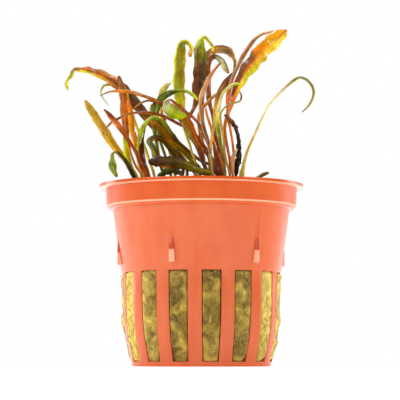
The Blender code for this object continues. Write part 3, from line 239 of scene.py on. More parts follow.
# Colours from root to tip as (place, colour). "left" and "right" are the margins of the front as one looks
# along the leaf, and "split" is where they begin, as a share of the half width. "back" is the other face.
# "ruffle" is height, wavelength in mm, and the places where it starts and ends.
# Some margin colours are painted light: painted highlights and sheen, and on one leaf a shaded half, each marked at
# its leaf.
LOOKS = {
    "leaf_upright_brown": {
        "mid": ((0, "tan"), (0.35, "orange"), (0.5, "brown"), (0.72, "rust"), (0.86, "brown"), (0.92, "mauve"),
                (1, "mauve")),
        "left": ((0, "tan"), (0.5, "orange"), (0.75, "amber"), (0.88, "mauve"), (1, "mauve")),
        "right": ((0, "tan"), (0.5, "amber"), (0.8, "gold"), (0.9, "mauve"), (1, "dusky")),
        "ruffle": (0.12, 5.0, 0.5, 1.0)},
    "leaf_yellow_strap": {
        "mid": ((0, "straw"), (0.35, "gold"), (0.6, "orange"), (1, "orange")),
        "left": ((0, "straw"), (0.5, "yellow"), (0.8, "bright_orange"), (1, "orange")), "split": (0.1, 0.6)},
    "leaf_orange_point": {"mid": ((0, "tan"), (0.5, "orange"), (1, "rust"))},
    # The blush and pink stops on its left margin are a painted highlight along the edge.
    "leaf_red_diagonal": {
        "mid": ((0, "rust"), (0.4, "red_brown"), (0.7, "rust"), (1, "maroon")),
        "left": ((0, "rust"), (0.55, "red_brown"), (0.72, "blush"), (0.86, "pink"), (1, "maroon"))},
    "leaf_yellow_green": {
        "mid": ((0, "gold"), (0.4, "yellow_green"), (1, "leaf_green")), "left": ((0, "yellow"), (1, "yellow_green"))},
    "leaf_folded_olive": {
        "mid": ((0, "dark_olive"), (0.35, "dark_olive"), (0.47, "grey_green"), (0.6, "olive"), (0.75, "green"),
                (1, "leaf_green")),
        "left": ((0, "dark_olive"), (0.4, "silver"), (0.55, "green"), (0.8, "leaf_green"), (1, "green")),
        "right": ((0, "deep_green"), (0.45, "grey_green"), (0.7, "pale_green"), (1, "green")),
        "ruffle": (0.12, 3.6, 0.4, 1.0)},
    "leaf_straight_yellow": {
        "mid": ((0, "yellow_green"), (0.3, "gold"), (0.5, "bronze"), (0.9, "bronze"), (1, "brown")),
        "left": ((0, "yellow_green"), (0.4, "gold"), (0.7, "bronze"), (0.9, "amber"), (1, "brown")),
        "right": ((0, "leaf_green"), (0.4, "gold"), (0.7, "bronze"), (1, "olive")), "split": (0.4, 0.9),
        "rib": ("olive", 0.7),
        "ruffle": (0.08, 6.0, 0.3, 1.0)},
    "leaf_dark_red": {"mid": ((0, "brown"), (0.5, "maroon"), (1, "deep_brown")), "right": ((0, "rust"), (1, "brown"))},
    "leaf_green_curl": {
        "mid": ((0, "straw"), (0.35, "yellow_green"), (0.5, "leaf_green"), (0.62, "olive"), (0.75, "green"),
                (1, "pale_green")),
        "left": ((0, "straw"), (0.55, "yellow_green"), (0.8, "pale_yellow"), (1, "leaf_green")),
        "right": ((0, "gold"), (0.55, "leaf_green"), (0.66, "mauve"), (0.8, "green"), (1, "pale_green")),
        "ruffle": (0.15, 3.0, 0.5, 0.8)},
    "leaf_left_arch": {
        "mid": ((0, "deep_brown"), (0.3, "brown"), (0.45, "dusky"), (0.55, "brown"), (0.64, "rust"),
                (0.75, "amber"), (0.85, "olive"), (0.92, "yellow_green"), (0.96, "pale_green"), (1, "pale_yellow")),
        "left": ((0, "brown"), (0.45, "brown"), (0.56, "amber"), (0.62, "gold"), (0.7, "yellow_green"),
                 (0.9, "yellow_green"), (1, "pale_yellow")),
        "right": ((0, "dusky"), (0.45, "mauve"), (0.6, "pink"), (0.74, "mauve"), (0.85, "olive"), (1, "straw")),
        "split": (0.25, 0.7), "ruffle": (0.3, 5.2, 0.5, 1.0)},
    "leaf_thin_arch_green": {
        "mid": ((0, "olive"), (0.3, "deep_green"), (0.45, "green"), (0.55, "deep_brown"), (0.8, "brown"), (1, "tan")),
        "left": ((0, "dark_olive"), (0.4, "leaf_green"), (0.6, "brown"), (1, "tan")),
        "right": ((0, "yellow_green"), (0.45, "yellow_green"), (0.6, "grey_brown"), (1, "tan")),
        "split": (0.2, 0.7)},
    "leaf_green_arch": {
        "mid": ((0, "olive"), (0.3, "green"), (0.6, "deep_green"), (0.8, "green"), (1, "yellow")),
        "left": ((0, "olive"), (0.4, "green"), (0.9, "yellow_green"), (1, "yellow")),
        "right": ((0, "deep_green"), (0.4, "deep_green"), (0.9, "deep_green"), (1, "green")),
        "ruffle": (0.12, 3.5, 0.4, 0.9)},
    "leaf_small_pale": {
        "mid": ((0, "tan"), (0.6, "straw"), (0.85, "pale_green"), (1, "silver")),
        "left": ((0, "tan"), (1, "white")), "right": ((0, "tan"), (0.8, "grey_green"), (1, "mauve")),
        "ruffle": (0.15, 3.0, 0.5, 1.0)},
    "leaf_hanging_striped": {
        "mid": ((0, "dark_olive"), (0.35, "olive"), (0.55, "brown"), (0.7, "olive"), (1, "olive")),
        "left": ((0, "olive"), (0.5, "brown"), (0.75, "deep_green"), (1, "dark_olive")),
        "right": ((0, "dark_olive"), (0.5, "deep_brown"), (0.75, "green"), (1, "olive")), "split": (0.1, 0.6)},
    "leaf_wide_amber": {
        "mid": ((0, "brown"), (0.3, "olive"), (0.5, "amber"), (0.7, "brown"), (0.9, "amber"), (1, "brown")),
        "left": ((0, "dark_olive"), (0.3, "gold"), (0.6, "olive"), (0.8, "olive"), (1, "brown")),
        "right": ((0, "brown"), (0.4, "green"), (0.6, "green"), (0.8, "amber"), (1, "brown")),
        "split": (0.3, 0.8), "rib": ("gold", 0.6), "ruffle": (0.15, 4.5, 0.3, 1.0)},
    "leaf_tall_olive": {
        "mid": ((0, "gold"), (0.35, "yellow_green"), (0.55, "olive"), (0.78, "olive"), (0.86, "leaf_green"),
                (0.94, "gold"), (1, "rust")),
        "left": ((0, "gold"), (0.45, "yellow_green"), (0.75, "yellow_green"), (0.9, "yellow"), (1, "orange")),
        "right": ((0, "gold"), (0.5, "gold"), (0.7, "gold"), (0.85, "leaf_green"), (1, "orange")),
        "rib": ("green", 0.5), "ruffle": (0.3, 6.4, 0.38, 1.0)},
    # The silver stops on its left margin and its back are a painted sheen near the top.
    "leaf_tall_dark": {
        "mid": ((0, "maroon"), (0.35, "maroon"), (0.45, "brown"), (0.58, "deep_brown"), (0.66, "dusky"),
                (0.71, "olive"), (0.77, "leaf_green"), (0.9, "yellow_green"), (1, "yellow")),
        "left": ((0, "maroon"), (0.4, "amber"), (0.52, "brown"), (0.62, "maroon"), (0.69, "olive"),
                 (0.74, "silver"), (0.84, "silver"), (0.92, "yellow"), (1, "yellow")),
        "right": ((0, "deep_brown"), (0.45, "grey_brown"), (0.6, "dusky"), (0.67, "deep_green"), (0.73, "green"),
                  (0.8, "yellow_green"), (1, "yellow")),
        "split": (0.25, 0.85), "back": ((0, "maroon"), (0.8, "silver"), (1, "pale_yellow")),
        "ruffle": (0.25, 6.5, 0.45, 1.0)},
    "leaf_low_olive": {
        "mid": ((0, "olive"), (0.35, "olive"), (0.55, "dark_olive"), (0.8, "deep_brown"), (1, "black")),
        "left": ((0, "dark_olive"), (0.5, "dark_olive"), (0.7, "amber"), (0.8, "black"), (1, "black")),
        "right": ((0, "dark_olive"), (0.4, "dark_olive"), (0.65, "black"), (0.85, "dusky"), (1, "black")),
        "ragged": 0.22, "ruffle": (0.22, 3.4, 0.3, 1.0)},
    # The blush and white stops on its right margin are a painted highlight, a wet gleam along the upper edge.
    "leaf_long_brown_arch": {
        "mid": ((0, "brown"), (0.3, "maroon"), (0.45, "red_brown"), (0.6, "amber"), (0.8, "orange"), (0.9, "brown"),
                (1, "mauve")),
        "left": ((0, "brown"), (0.4, "maroon"), (0.6, "amber"), (0.85, "orange"), (1, "mauve")),
        "right": ((0, "brown"), (0.45, "brown"), (0.58, "mauve"), (0.68, "blush"), (0.76, "white"), (0.86, "blush"),
                  (1, "mauve"))},
    # The silver, white and blush stops are a painted sheen and highlight on the fold.
    "leaf_silver_fold": {
        "mid": ((0, "amber"), (0.25, "red_brown"), (0.55, "brown"), (0.62, "mauve"), (0.7, "grey_green"),
                (0.85, "leaf_green"), (1, "yellow_green")),
        "left": ((0, "amber"), (0.3, "red_brown"), (0.6, "red_brown"), (0.75, "grey_brown"), (1, "yellow_green")),
        "right": ((0, "amber"), (0.3, "rust"), (0.55, "blush"), (0.7, "silver"), (0.9, "yellow_green"), (1, "yellow")),
        "back": ((0, "grey_green"), (0.55, "grey_brown"), (0.66, "silver"), (0.76, "white"), (0.81, "pale_green"),
                 (0.86, "leaf_green"), (1, "yellow_green"))},
    "leaf_pink_edge": {
        "mid": ((0, "mauve"), (0.4, "mauve"), (0.7, "pink"), (0.9, "rust"), (1, "maroon")),
        "left": ((0, "mauve"), (0.45, "blush"), (0.7, "blush"), (1, "pink")),
        "right": ((0, "mauve"), (0.5, "pink"), (1, "red_brown")), "back": ((0, "mauve"), (1, "pink"))},
    "leaf_thin_red_arch": {
        "mid": ((0, "red_brown"), (0.4, "red_brown"), (0.7, "brown"), (0.85, "brown"), (1, "mauve")),
        "left": ((0, "rust"), (0.5, "rust"), (0.8, "orange"), (1, "mauve")),
        "right": ((0, "maroon"), (0.5, "dusky"), (0.8, "mauve"), (1, "mauve"))},
    "leaf_orange_branch": {
        "mid": ((0, "tan"), (0.4, "orange"), (0.7, "amber"), (1, "tan")), "left": ((0, "straw"), (1, "straw"))},
    "leaf_purple_brown": {
        "mid": ((0, "olive"), (0.3, "straw"), (0.55, "tan"), (0.68, "mauve"), (0.85, "mauve"), (1, "dusky")),
        "left": ((0, "olive"), (0.5, "pink"), (0.75, "dusky"), (1, "dusky")),
        "right": ((0, "straw"), (0.5, "blush"), (0.75, "pink"), (1, "mauve"))},
    "leaf_hooked_brown": {
        "mid": ((0, "dusky"), (0.35, "red_brown"), (0.5, "brown"), (0.72, "brown"), (0.8, "dusky"),
                (0.88, "silver"), (0.95, "grey_green"), (1, "rust")),
        "left": ((0, "dusky"), (0.6, "deep_brown"), (0.8, "deep_brown"), (0.9, "dark_olive"), (1, "rust")),
        "right": ((0, "mauve"), (0.6, "rust"), (0.75, "amber"), (0.86, "white"), (0.95, "silver"), (1, "rust")),
        "back": ((0, "mauve"), (1, "silver"))},
    "stalk_cut": {"mid": ((0, "rust"), (0.5, "orange"), (1, "orange")), "left": ((0, "straw"), (1, "straw"))},
    "leaf_tendril": {
        "mid": ((0, "olive"), (0.4, "tan"), (0.62, "grey_green"), (0.78, "olive"), (0.85, "maroon"), (0.93, "mauve"),
                (1, "mauve"))},
    "leaf_green_hanging": {
        "mid": ((0, "olive"), (0.25, "brown"), (0.42, "dark_olive"), (0.52, "olive"), (0.6, "green"),
                (0.7, "leaf_green"), (1, "leaf_green")),
        "left": ((0, "dark_olive"), (0.45, "brown"), (0.55, "deep_green"), (0.8, "green"), (1, "yellow_green")),
        "right": ((0, "olive"), (0.45, "dark_olive"), (0.6, "yellow_green"), (0.7, "silver"), (0.85, "leaf_green"),
                  (1, "yellow_green")),
        "split": (0.3, 0.9)},
    "leaf_thin_yellow_green": {
        "mid": ((0, "olive"), (0.3, "green"), (0.42, "yellow_green"), (0.55, "white"), (0.7, "pale_green"),
                (0.85, "leaf_green"), (1, "yellow_green")),
        "left": ((0, "gold"), (0.5, "pale_yellow"), (0.8, "silver"), (1, "yellow_green"))},
    "leaf_pink_strap": {
        "mid": ((0, "orange"), (0.3, "orange"), (0.45, "rust"), (0.6, "mauve"), (0.8, "mauve"), (1, "tan")),
        "left": ((0, "orange"), (0.4, "orange"), (0.55, "pink"), (0.8, "pink"), (1, "tan")),
        "right": ((0, "orange"), (0.4, "rust"), (0.6, "pink"), (0.8, "blush"), (1, "tan")),
        "back": ((0, "orange"), (0.5, "pink"), (1, "pink"))},
    # Its halves are partly its own colours and partly painted light: the maroon and mauve left half is a painted
    # shaded half of the folded blade, the yellow right half a lit one.
    "leaf_large_orange": {
        "mid": ((0, "rust"), (0.4, "rust"), (0.55, "rust"), (0.65, "orange"), (0.8, "bright_orange"), (0.9, "orange"),
                (1, "rust")),
        "left": ((0, "rust"), (0.42, "orange"), (0.46, "maroon"), (0.56, "mauve"), (0.68, "mauve"), (0.72, "orange"),
                 (0.8, "gold"), (0.92, "bright_orange"), (1, "orange")),
        "right": ((0, "rust"), (0.45, "orange"), (0.52, "yellow"), (0.62, "yellow_green"), (0.72, "gold"),
                  (0.8, "yellow"), (0.92, "yellow"), (0.97, "orange"), (1, "rust")),
        "split": (0.02, 0.3), "ruffle": (0.3, 5.6, 0.45, 1.0)},
    "sheath_papery": {"mid": ((0, "tan"), (0.5, "peach"), (1, "blush")), "left": ((0, "pink"), (1, "blush"))},
    "leaf_decayed": {
        "mid": ((0, "black"), (0.5, "black"), (0.75, "deep_brown"), (0.9, "brown"), (1, "dusky")),
        "left": ((0, "black"), (0.5, "deep_brown"), (1, "maroon")), "ragged": 0.45,
        "right": ((0, "black"), (0.6, "black"), (0.8, "red_brown"), (1, "black")), "ruffle": (0.3, 2.1, 0.05, 1.0)},
    "leaf_right_loop": {
        "mid": ((0, "pale_yellow"), (0.25, "straw"), (0.38, "white"), (0.5, "blush"), (0.56, "olive"), (0.7, "grey_green"),
                (0.85, "olive"), (0.95, "straw"), (1, "brown")),
        "left": ((0, "white"), (0.4, "blush"), (0.7, "olive"), (1, "brown")),
        "right": ((0, "straw"), (0.4, "pale_yellow"), (0.7, "leaf_green"), (0.9, "yellow_green"), (1, "brown"))},
    "leaf_amber_strap": {
        "mid": ((0, "deep_brown"), (0.35, "maroon"), (0.55, "brown"), (0.8, "rust"), (1, "amber")),
        "left": ((0, "brown"), (0.4, "maroon"), (0.6, "olive"), (0.85, "amber"), (1, "gold")),
        "right": ((0, "deep_brown"), (0.35, "maroon"), (0.6, "rust"), (0.85, "orange"), (1, "orange")),
        "split": (0.0, 0.3), "ruffle": (0.12, 4.0, 0.4, 1.0)},
    "leaf_dark_strap": {
        "mid": ((0, "brown"), (0.4, "dark_olive"), (0.7, "deep_green"), (1, "olive")),
        "left": ((0, "dark_olive"), (1, "deep_green")), "ruffle": (0.2, 3.2, 0.3, 1.0)},
    "leaf_dark_curl": {
        "mid": ((0, "black"), (0.5, "deep_green"), (1, "dark_olive")),
        "left": ((0, "dark_olive"), (0.6, "green"), (1, "black")), "ragged": 0.3, "ruffle": (0.3, 2.4, 0.1, 1.0)},
    "sheath_brown": {
        "mid": ((0, "deep_brown"), (0.5, "maroon"), (1, "brown")), "left": ((0, "black"), (1, "maroon")),
        "right": ((0, "brown"), (1, "amber"))},
    "leaf_tip_at_rim": {"mid": ((0, "olive"), (0.6, "grey_green"), (1, "grey_brown"))},
    "leaf_tan_hood": {
        "mid": ((0, "amber"), (0.4, "brown"), (0.55, "tan"), (0.66, "grey_brown"), (0.76, "tan"), (0.85, "olive"),
                (1, "yellow_green")),
        "left": ((0, "amber"), (0.5, "dusky"), (0.62, "mauve"), (0.7, "blush"), (0.8, "grey_brown"), (0.88, "olive"),
                 (1, "yellow_green")),
        "right": ((0, "amber"), (0.5, "tan"), (0.62, "olive"), (0.72, "dark_olive"), (0.85, "gold"), (1, "gold")),
        "ruffle": (0.22, 4.2, 0.45, 1.0)},
}
LEAF_FINISHES = ("brown", "dark", "olive", "green", "yellow", "orange", "pink", "tan")
EDGE_SPLIT = (0.5, 0.95)


# Small helpers for objects and edit mode

def deselect_all():
    bpy.ops.object.select_all(action="DESELECT")


def pick(made):
    deselect_all()
    made.select_set(True)
    bpy.context.view_layer.objects.active = made


def named_new(name):
    made = bpy.context.object
    made.name = name
    made.data.name = name
    return made


def close_and_face_out(made, distance=1e-6):
    """Merge doubles, so that seams and poles close, and turn every face outwards."""
    pick(made)
    bpy.ops.object.mode_set(mode="EDIT")
    bpy.ops.mesh.select_all(action="SELECT")
    bpy.ops.mesh.remove_doubles(threshold=distance)
    bpy.ops.mesh.normals_make_consistent(inside=False)
    bpy.ops.object.mode_set(mode="OBJECT")


def apply_modifiers(made):
    pick(made)
    for modifier in list(made.modifiers):
        bpy.ops.object.modifier_apply(modifier=modifier.name)


def settle(made):
    """Put the object's origin at the frame's origin, unturned and unscaled."""
    pick(made)
    bpy.ops.object.transform_apply(location=True, rotation=True, scale=True)


def finish_piece(made, material, slot, *nodes):
    made.data.materials.clear()
    made.data.materials.append(material)
    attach(made, BODY)
    if nodes:
        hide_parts(*nodes)


def smoothstep(low, high, value):
    share = min(max((value - low) / (high - low), 0.0), 1.0)
    return share * share * (3 - 2 * share)


def linear(name):
    """A palette colour as scene-linear values."""
    shares = [part / 255 for part in PALETTE[name]]
    return Vector([share / 12.92 if share <= 0.04045 else ((share + 0.055) / 1.055) ** 2.4 for share in shares])


def gradient(stops, place):
    for (start, first), (end, second) in zip(stops, stops[1:]):
        if place <= end:
            share = (place - start) / (end - start) if end > start else 1.0
            return linear(first).lerp(linear(second), max(share, 0.0))
    return linear(stops[-1][1])


# Materials

def new_material(name):
    made = bpy.data.materials.new(name)
    made.use_nodes = True
    tree = made.node_tree
    return made, tree, tree.nodes["Principled BSDF"]


def add_node(tree, kind, settings=None, **inputs):
    """A new node with its settings and inputs, where an input is a value or another node's socket."""
    node = tree.nodes.new(kind)
    for key, value in (settings or {}).items():
        setattr(node, key, value)
    for key, value in inputs.items():
        feed(tree, node.inputs[key.replace("_", " ")], value)
    return node


def feed(tree, socket, value):
    if isinstance(value, bpy.types.NodeSocket):
        tree.links.new(value, socket)
    else:
        socket.default_value = value


def calculate(tree, operation, *values):
    node = tree.nodes.new("ShaderNodeMath")
    node.operation = operation
    for socket, value in zip(node.inputs, values):
        feed(tree, socket, value)
    return node.outputs[0]


def rescale(tree, value, low, high, new_low, new_high):
    node = add_node(tree, "ShaderNodeMapRange", None, Value=value)
    for key, number in (("From Min", low), ("From Max", high), ("To Min", new_low), ("To Max", new_high)):
        node.inputs[key].default_value = number
    return node.outputs[0]


def mix(tree, factor, first, second, kind="MIX"):
    node = tree.nodes.new("ShaderNodeMix")
    node.data_type = "RGBA"
    node.blend_type = kind
    feed(tree, node.inputs[0], factor)
    for socket, value in ((node.inputs[6], first), (node.inputs[7], second)):
        feed(tree, socket, value if isinstance(value, bpy.types.NodeSocket) else (*value, 1.0))
    return node.outputs[2]


def noise_value(tree, vector, scale, detail=3.0, roughness=0.5, distortion=0.0):
    node = add_node(tree, "ShaderNodeTexNoise", None, Vector=vector, Scale=scale, Detail=detail,
                    Roughness=roughness, Distortion=distortion)
    return node.outputs[0]


def scaled_vector(tree, vector, across, along, depth=1.0):
    node = add_node(tree, "ShaderNodeVectorMath", {"operation": "MULTIPLY"})
    tree.links.new(vector, node.inputs[0])
    node.inputs[1].default_value = (across, along, depth)
    return node.outputs[0]


def bump(tree, height, strength, distance):
    return add_node(tree, "ShaderNodeBump", None, Height=height, Strength=strength,
                    Distance=distance * MM).outputs[0]


def leaf_material(name, roughness, streaks, speckles, glow, mottle):
    """Moist leaf: painted tint, lengthwise streaks, fine parallel veins, speckles and a thin wet film."""
    made, tree, shader = new_material(name)
    tint = add_node(tree, "ShaderNodeAttribute", {"attribute_name": "tint"}).outputs[0]
    flat = add_node(tree, "ShaderNodeUVMap", {"uv_map": "leaf_mm"}).outputs[0]
    streak = noise_value(tree, scaled_vector(tree, flat, 2.4, 0.16), 1.0, 4.0, 0.6)
    blotch = noise_value(tree, scaled_vector(tree, flat, 0.7, 0.35), 1.0, 3.0, 0.55)
    speckle = noise_value(tree, scaled_vector(tree, flat, 1.3, 0.8), 1.0, 3.0, 0.55)
    season = noise_value(tree, scaled_vector(tree, flat, 0.45, 0.22), 1.0, 3.0, 0.6)
    split = add_node(tree, "ShaderNodeSeparateXYZ", None, Vector=flat)
    bend = calculate(tree, "MULTIPLY", calculate(tree, "SUBTRACT", blotch, 0.5), 3.0)
    veins = calculate(tree, "SINE", calculate(tree, "ADD", calculate(tree, "MULTIPLY", split.outputs[0], 19.0), bend))
    ladder = calculate(tree, "SUBTRACT", calculate(tree, "MULTIPLY", split.outputs[1], 7.0),
                       calculate(tree, "MULTIPLY", calculate(tree, "ABSOLUTE", split.outputs[0]), 9.0))
    cross_veins = calculate(tree, "POWER", calculate(tree, "ABSOLUTE", calculate(tree, "SINE", ladder)), 6.0)
    light = rescale(tree, streak, 0.34, 0.66, 1.0 - streaks, 1.0 + streaks)
    patch = rescale(tree, blotch, 0.34, 0.66, 1.0 - mottle, 1.0 + 0.7 * mottle)
    line = rescale(tree, veins, -1.0, 1.0, 0.93, 1.05)
    value = calculate(tree, "MULTIPLY", calculate(tree, "MULTIPLY", light, patch), line)
    grey = add_node(tree, "ShaderNodeCombineXYZ", None, X=value, Y=value, Z=value).outputs[0]
    shift = mix(tree, rescale(tree, season, 0.36, 0.64, 0.0, 1.0), (0.90, 1.06, 0.7), (1.14, 0.93, 0.6))
    colour = mix(tree, 1.0, mix(tree, 1.0, tint, grey, "MULTIPLY"), shift, "MULTIPLY")
    spots = rescale(tree, speckle, 0.56, 0.68, 0.0, speckles)
    colour = mix(tree, spots, colour, (0.12, 0.040, 0.004))
    tree.links.new(colour, shader.inputs["Base Color"])
    tree.links.new(rescale(tree, blotch, 0.3, 0.7, roughness - 0.08, roughness + 0.1), shader.inputs["Roughness"])
    height = calculate(tree, "ADD", calculate(tree, "MULTIPLY", veins, 0.35),
                       calculate(tree, "ADD", streak, calculate(tree, "MULTIPLY", cross_veins, 0.25)))
    tree.links.new(bump(tree, height, 0.55, 0.07), shader.inputs["Normal"])
    wet = noise_value(tree, scaled_vector(tree, flat, 1.3, 0.5), 1.0, 2.0, 0.5)
    tree.links.new(rescale(tree, wet, 0.48, 0.60, 0.0, 0.85), shader.inputs["Coat Weight"])
    shader.inputs["Specular IOR Level"].default_value = 0.09
    shader.inputs["Coat Roughness"].default_value = 0.10
    shader.inputs["Subsurface Weight"].default_value = glow
    shader.inputs["Subsurface Radius"].default_value = (1.0, 0.55, 0.05)
    shader.inputs["Subsurface Scale"].default_value = 0.25 * MM
    return made


def pot_material():
    """Thin glossy orange plastic with faint upright bands and flow marks. Painted light: the body below the collar
    painted paler, the right side a deeper orange in painted shade, pale painted highlight lines at the collar's foot
    and under the lip, and lugs painted pale below and dark above.
    """
    made, tree, shader = new_material("orange_plastic")
    place = add_node(tree, "ShaderNodeTexCoord").outputs["Object"]
    split = add_node(tree, "ShaderNodeSeparateXYZ", None, Vector=place)
    turn = calculate(tree, "ARCTAN2", split.outputs[1], split.outputs[0])
    height = calculate(tree, "MULTIPLY", split.outputs[2], 12.0)
    flow = add_node(tree, "ShaderNodeCombineXYZ", None, X=turn, Y=height).outputs[0]
    bands = noise_value(tree, flow, 7.0, 2.0, 0.5)
    mottle = noise_value(tree, place, 90.0, 3.0, 0.55)
    fine = noise_value(tree, place, 900.0, 2.0, 0.5)
    # Partly the collar's thicker plastic and partly painted light: the collar and lip keep a deeper orange, and the
    # thin body wall below is painted paler, as painted light shining through it from behind.
    collar_vs_backlit_body = rescale(tree, split.outputs[2], 0.0424, 0.0442, 0.0, 1.0)
    deep = mix(tree, collar_vs_backlit_body, (0.560, 0.102, 0.030), (0.520, 0.064, 0.003))
    pale = mix(tree, collar_vs_backlit_body, (0.610, 0.134, 0.048), (0.570, 0.088, 0.006))
    tone = calculate(tree, "ADD", calculate(tree, "MULTIPLY", bands, 0.6), calculate(tree, "MULTIPLY", mottle, 0.4))
    colour = mix(tree, rescale(tree, tone, 0.35, 0.65, 0.0, 1.0), deep, pale)
    # Painted shade: the right side, away from the key light, is painted a deeper, clearer orange with less pale
    # reflection.
    right_side_shade = rescale(tree, split.outputs[0], 0.010, 0.018, 0.0, 0.8)
    colour = mix(tree, right_side_shade, colour, mix(tree, collar_vs_backlit_body, (0.62, 0.100, 0.012), (0.60, 0.085, 0.001)))
    # Painted highlights: pale lines along the rounded foot of the collar and along the foot of the lip.
    for low, high in ((0.04352, 0.04392), (0.04866, 0.04888)):
        middle, reach = (low + high) / 2, (high - low) / 2
        apart = calculate(tree, "ABSOLUTE", calculate(tree, "SUBTRACT", split.outputs[2], middle))
        colour = mix(tree, rescale(tree, apart, reach * 0.6, reach * 1.4, 0.7, 0.0), colour, (0.96, 0.50, 0.32))
    slope = (STEP_RADIUS - WALL_FOOT_RADIUS) / (STEP_FOOT - WALL_FOOT)
    radius = calculate(tree, "SQRT", calculate(tree, "ADD", calculate(tree, "MULTIPLY", split.outputs[0], split.outputs[0]),
                                               calculate(tree, "MULTIPLY", split.outputs[1], split.outputs[1])))
    wall = calculate(tree, "ADD", calculate(tree, "MULTIPLY", split.outputs[2], slope),
                     (WALL_FOOT_RADIUS - WALL_FOOT * slope) * MM)
    proud = rescale(tree, calculate(tree, "SUBTRACT", radius, wall), 0.00003, 0.00012, 0.0, 1.0)
    below_step = rescale(tree, split.outputs[2], 0.0348, 0.0350, 1.0, 0.0)
    above_slots = rescale(tree, split.outputs[2], 0.0272, 0.0274, 0.0, 1.0)
    on_lug = calculate(tree, "MULTIPLY", proud, calculate(tree, "MULTIPLY", below_step, above_slots))
    # Painted light on the lugs: the upright foot is painted pale as a painted highlight, and the sloping top dark as
    # painted shade.
    lug_light_and_shade = mix(tree, rescale(tree, split.outputs[2], 0.0306, 0.0311, 0.0, 1.0), (0.80, 0.33, 0.20), (0.46, 0.058, 0.018))
    colour = mix(tree, on_lug, colour, lug_light_and_shade)
    tree.links.new(colour, shader.inputs["Base Color"])
    tree.links.new(rescale(tree, mottle, 0.3, 0.7, 0.16, 0.27), shader.inputs["Roughness"])
    relief = calculate(tree, "ADD", bands, calculate(tree, "MULTIPLY", fine, 0.12))
    tree.links.new(bump(tree, relief, 0.25, 0.12), shader.inputs["Normal"])
    shader.inputs["Specular IOR Level"].default_value = 0.24
    shader.inputs["Subsurface Weight"].default_value = 0.1
    shader.inputs["Subsurface Radius"].default_value = (1.0, 0.3, 0.12)
    shader.inputs["Subsurface Scale"].default_value = 0.8 * MM
    return made


def wool_material():
    """Damp mineral fibre: soft khaki cushions, painted shade in the folds, sides painted a paler yellow as painted
    light from behind, and a fine mat of threads.
    """
    made, tree, shader = new_material("damp_rock_wool")
    place = add_node(tree, "ShaderNodeTexCoord").outputs["Object"]
    split = add_node(tree, "ShaderNodeSeparateXYZ", None, Vector=place)
    cushions = noise_value(tree, place, 200.0, 3.0, 0.5, 0.9)
    tufts = noise_value(tree, place, 380.0, 4.0, 0.6, 1.0)
    threads = noise_value(tree, scaled_vector(tree, place, 1.0, 1.0, 0.4), 1700.0, 4.0, 0.6, 1.6)
    # The fold attribute is painted shade: darker in creases and in the recesses by the ribs, lighter on lumps.
    fold = add_node(tree, "ShaderNodeAttribute", {"attribute_name": "fold"}).outputs["Fac"]
    base = mix(tree, rescale(tree, cushions, 0.40, 0.62, 0.0, 1.0), (0.185, 0.108, 0.014), (0.55, 0.37, 0.065))
    base = mix(tree, rescale(tree, tufts, 0.57, 0.68, 0.0, 0.6), base, (0.80, 0.64, 0.16))
    base = mix(tree, rescale(tree, threads, 0.36, 0.6, 0.25, 0.0), base, (0.13, 0.080, 0.010))
    base = mix(tree, rescale(tree, fold, 0.2, 1.0, 0.85, 0.0), base, (0.105, 0.062, 0.012))
    # Painted light: the left and right sides are painted a paler yellow, as if lit from behind and from the sides.
    backlit_sides = calculate(tree, "ABSOLUTE", split.outputs[0])
    base = mix(tree, rescale(tree, backlit_sides, 0.0130, 0.0180, 0.0, 0.8), base, (0.95, 0.74, 0.17))
    tree.links.new(base, shader.inputs["Base Color"])
    shader.inputs["Roughness"].default_value = 0.8
    relief = calculate(tree, "ADD", threads, calculate(tree, "MULTIPLY", tufts, 1.2))
    tree.links.new(bump(tree, relief, 0.5, 0.25), shader.inputs["Normal"])
    shader.inputs["Specular IOR Level"].default_value = 0.15
    shader.inputs["Sheen Weight"].default_value = 0.1
    return made


def fibre_material():
    made, tree, shader = new_material("wool_strands")
    place = add_node(tree, "ShaderNodeTexCoord").outputs["Object"]
    tone = noise_value(tree, place, 260.0, 3.0, 0.6)
    colour = mix(tree, rescale(tree, tone, 0.35, 0.65, 0.0, 1.0), (0.30, 0.21, 0.03), (0.66, 0.52, 0.14))
    tree.links.new(colour, shader.inputs["Base Color"])
    shader.inputs["Roughness"].default_value = 0.55
    shader.inputs["Specular IOR Level"].default_value = 0.3
    return made


def crown_material():
    """Fibrous brown stock with pale scars."""
    made, tree, shader = new_material("crown_bark")
    place = add_node(tree, "ShaderNodeTexCoord").outputs["Object"]
    grain = noise_value(tree, scaled_vector(tree, place, 1.0, 1.0, 0.25), 1400.0, 5.0, 0.6, 0.6)
    rings = noise_value(tree, scaled_vector(tree, place, 0.2, 0.2, 1.0), 900.0, 3.0, 0.5)
    colour = mix(tree, rescale(tree, grain, 0.35, 0.65, 0.0, 1.0), (0.05, 0.022, 0.008), (0.24, 0.13, 0.045))
    colour = mix(tree, rescale(tree, rings, 0.56, 0.66, 0.0, 0.6), colour, (0.46, 0.34, 0.16))
    tree.links.new(colour, shader.inputs["Base Color"])
    tree.links.new(rescale(tree, grain, 0.3, 0.7, 0.45, 0.75), shader.inputs["Roughness"])
    tree.links.new(bump(tree, grain, 0.7, 0.2), shader.inputs["Normal"])
    shader.inputs["Specular IOR Level"].default_value = 0.3
    return made


# Net pot

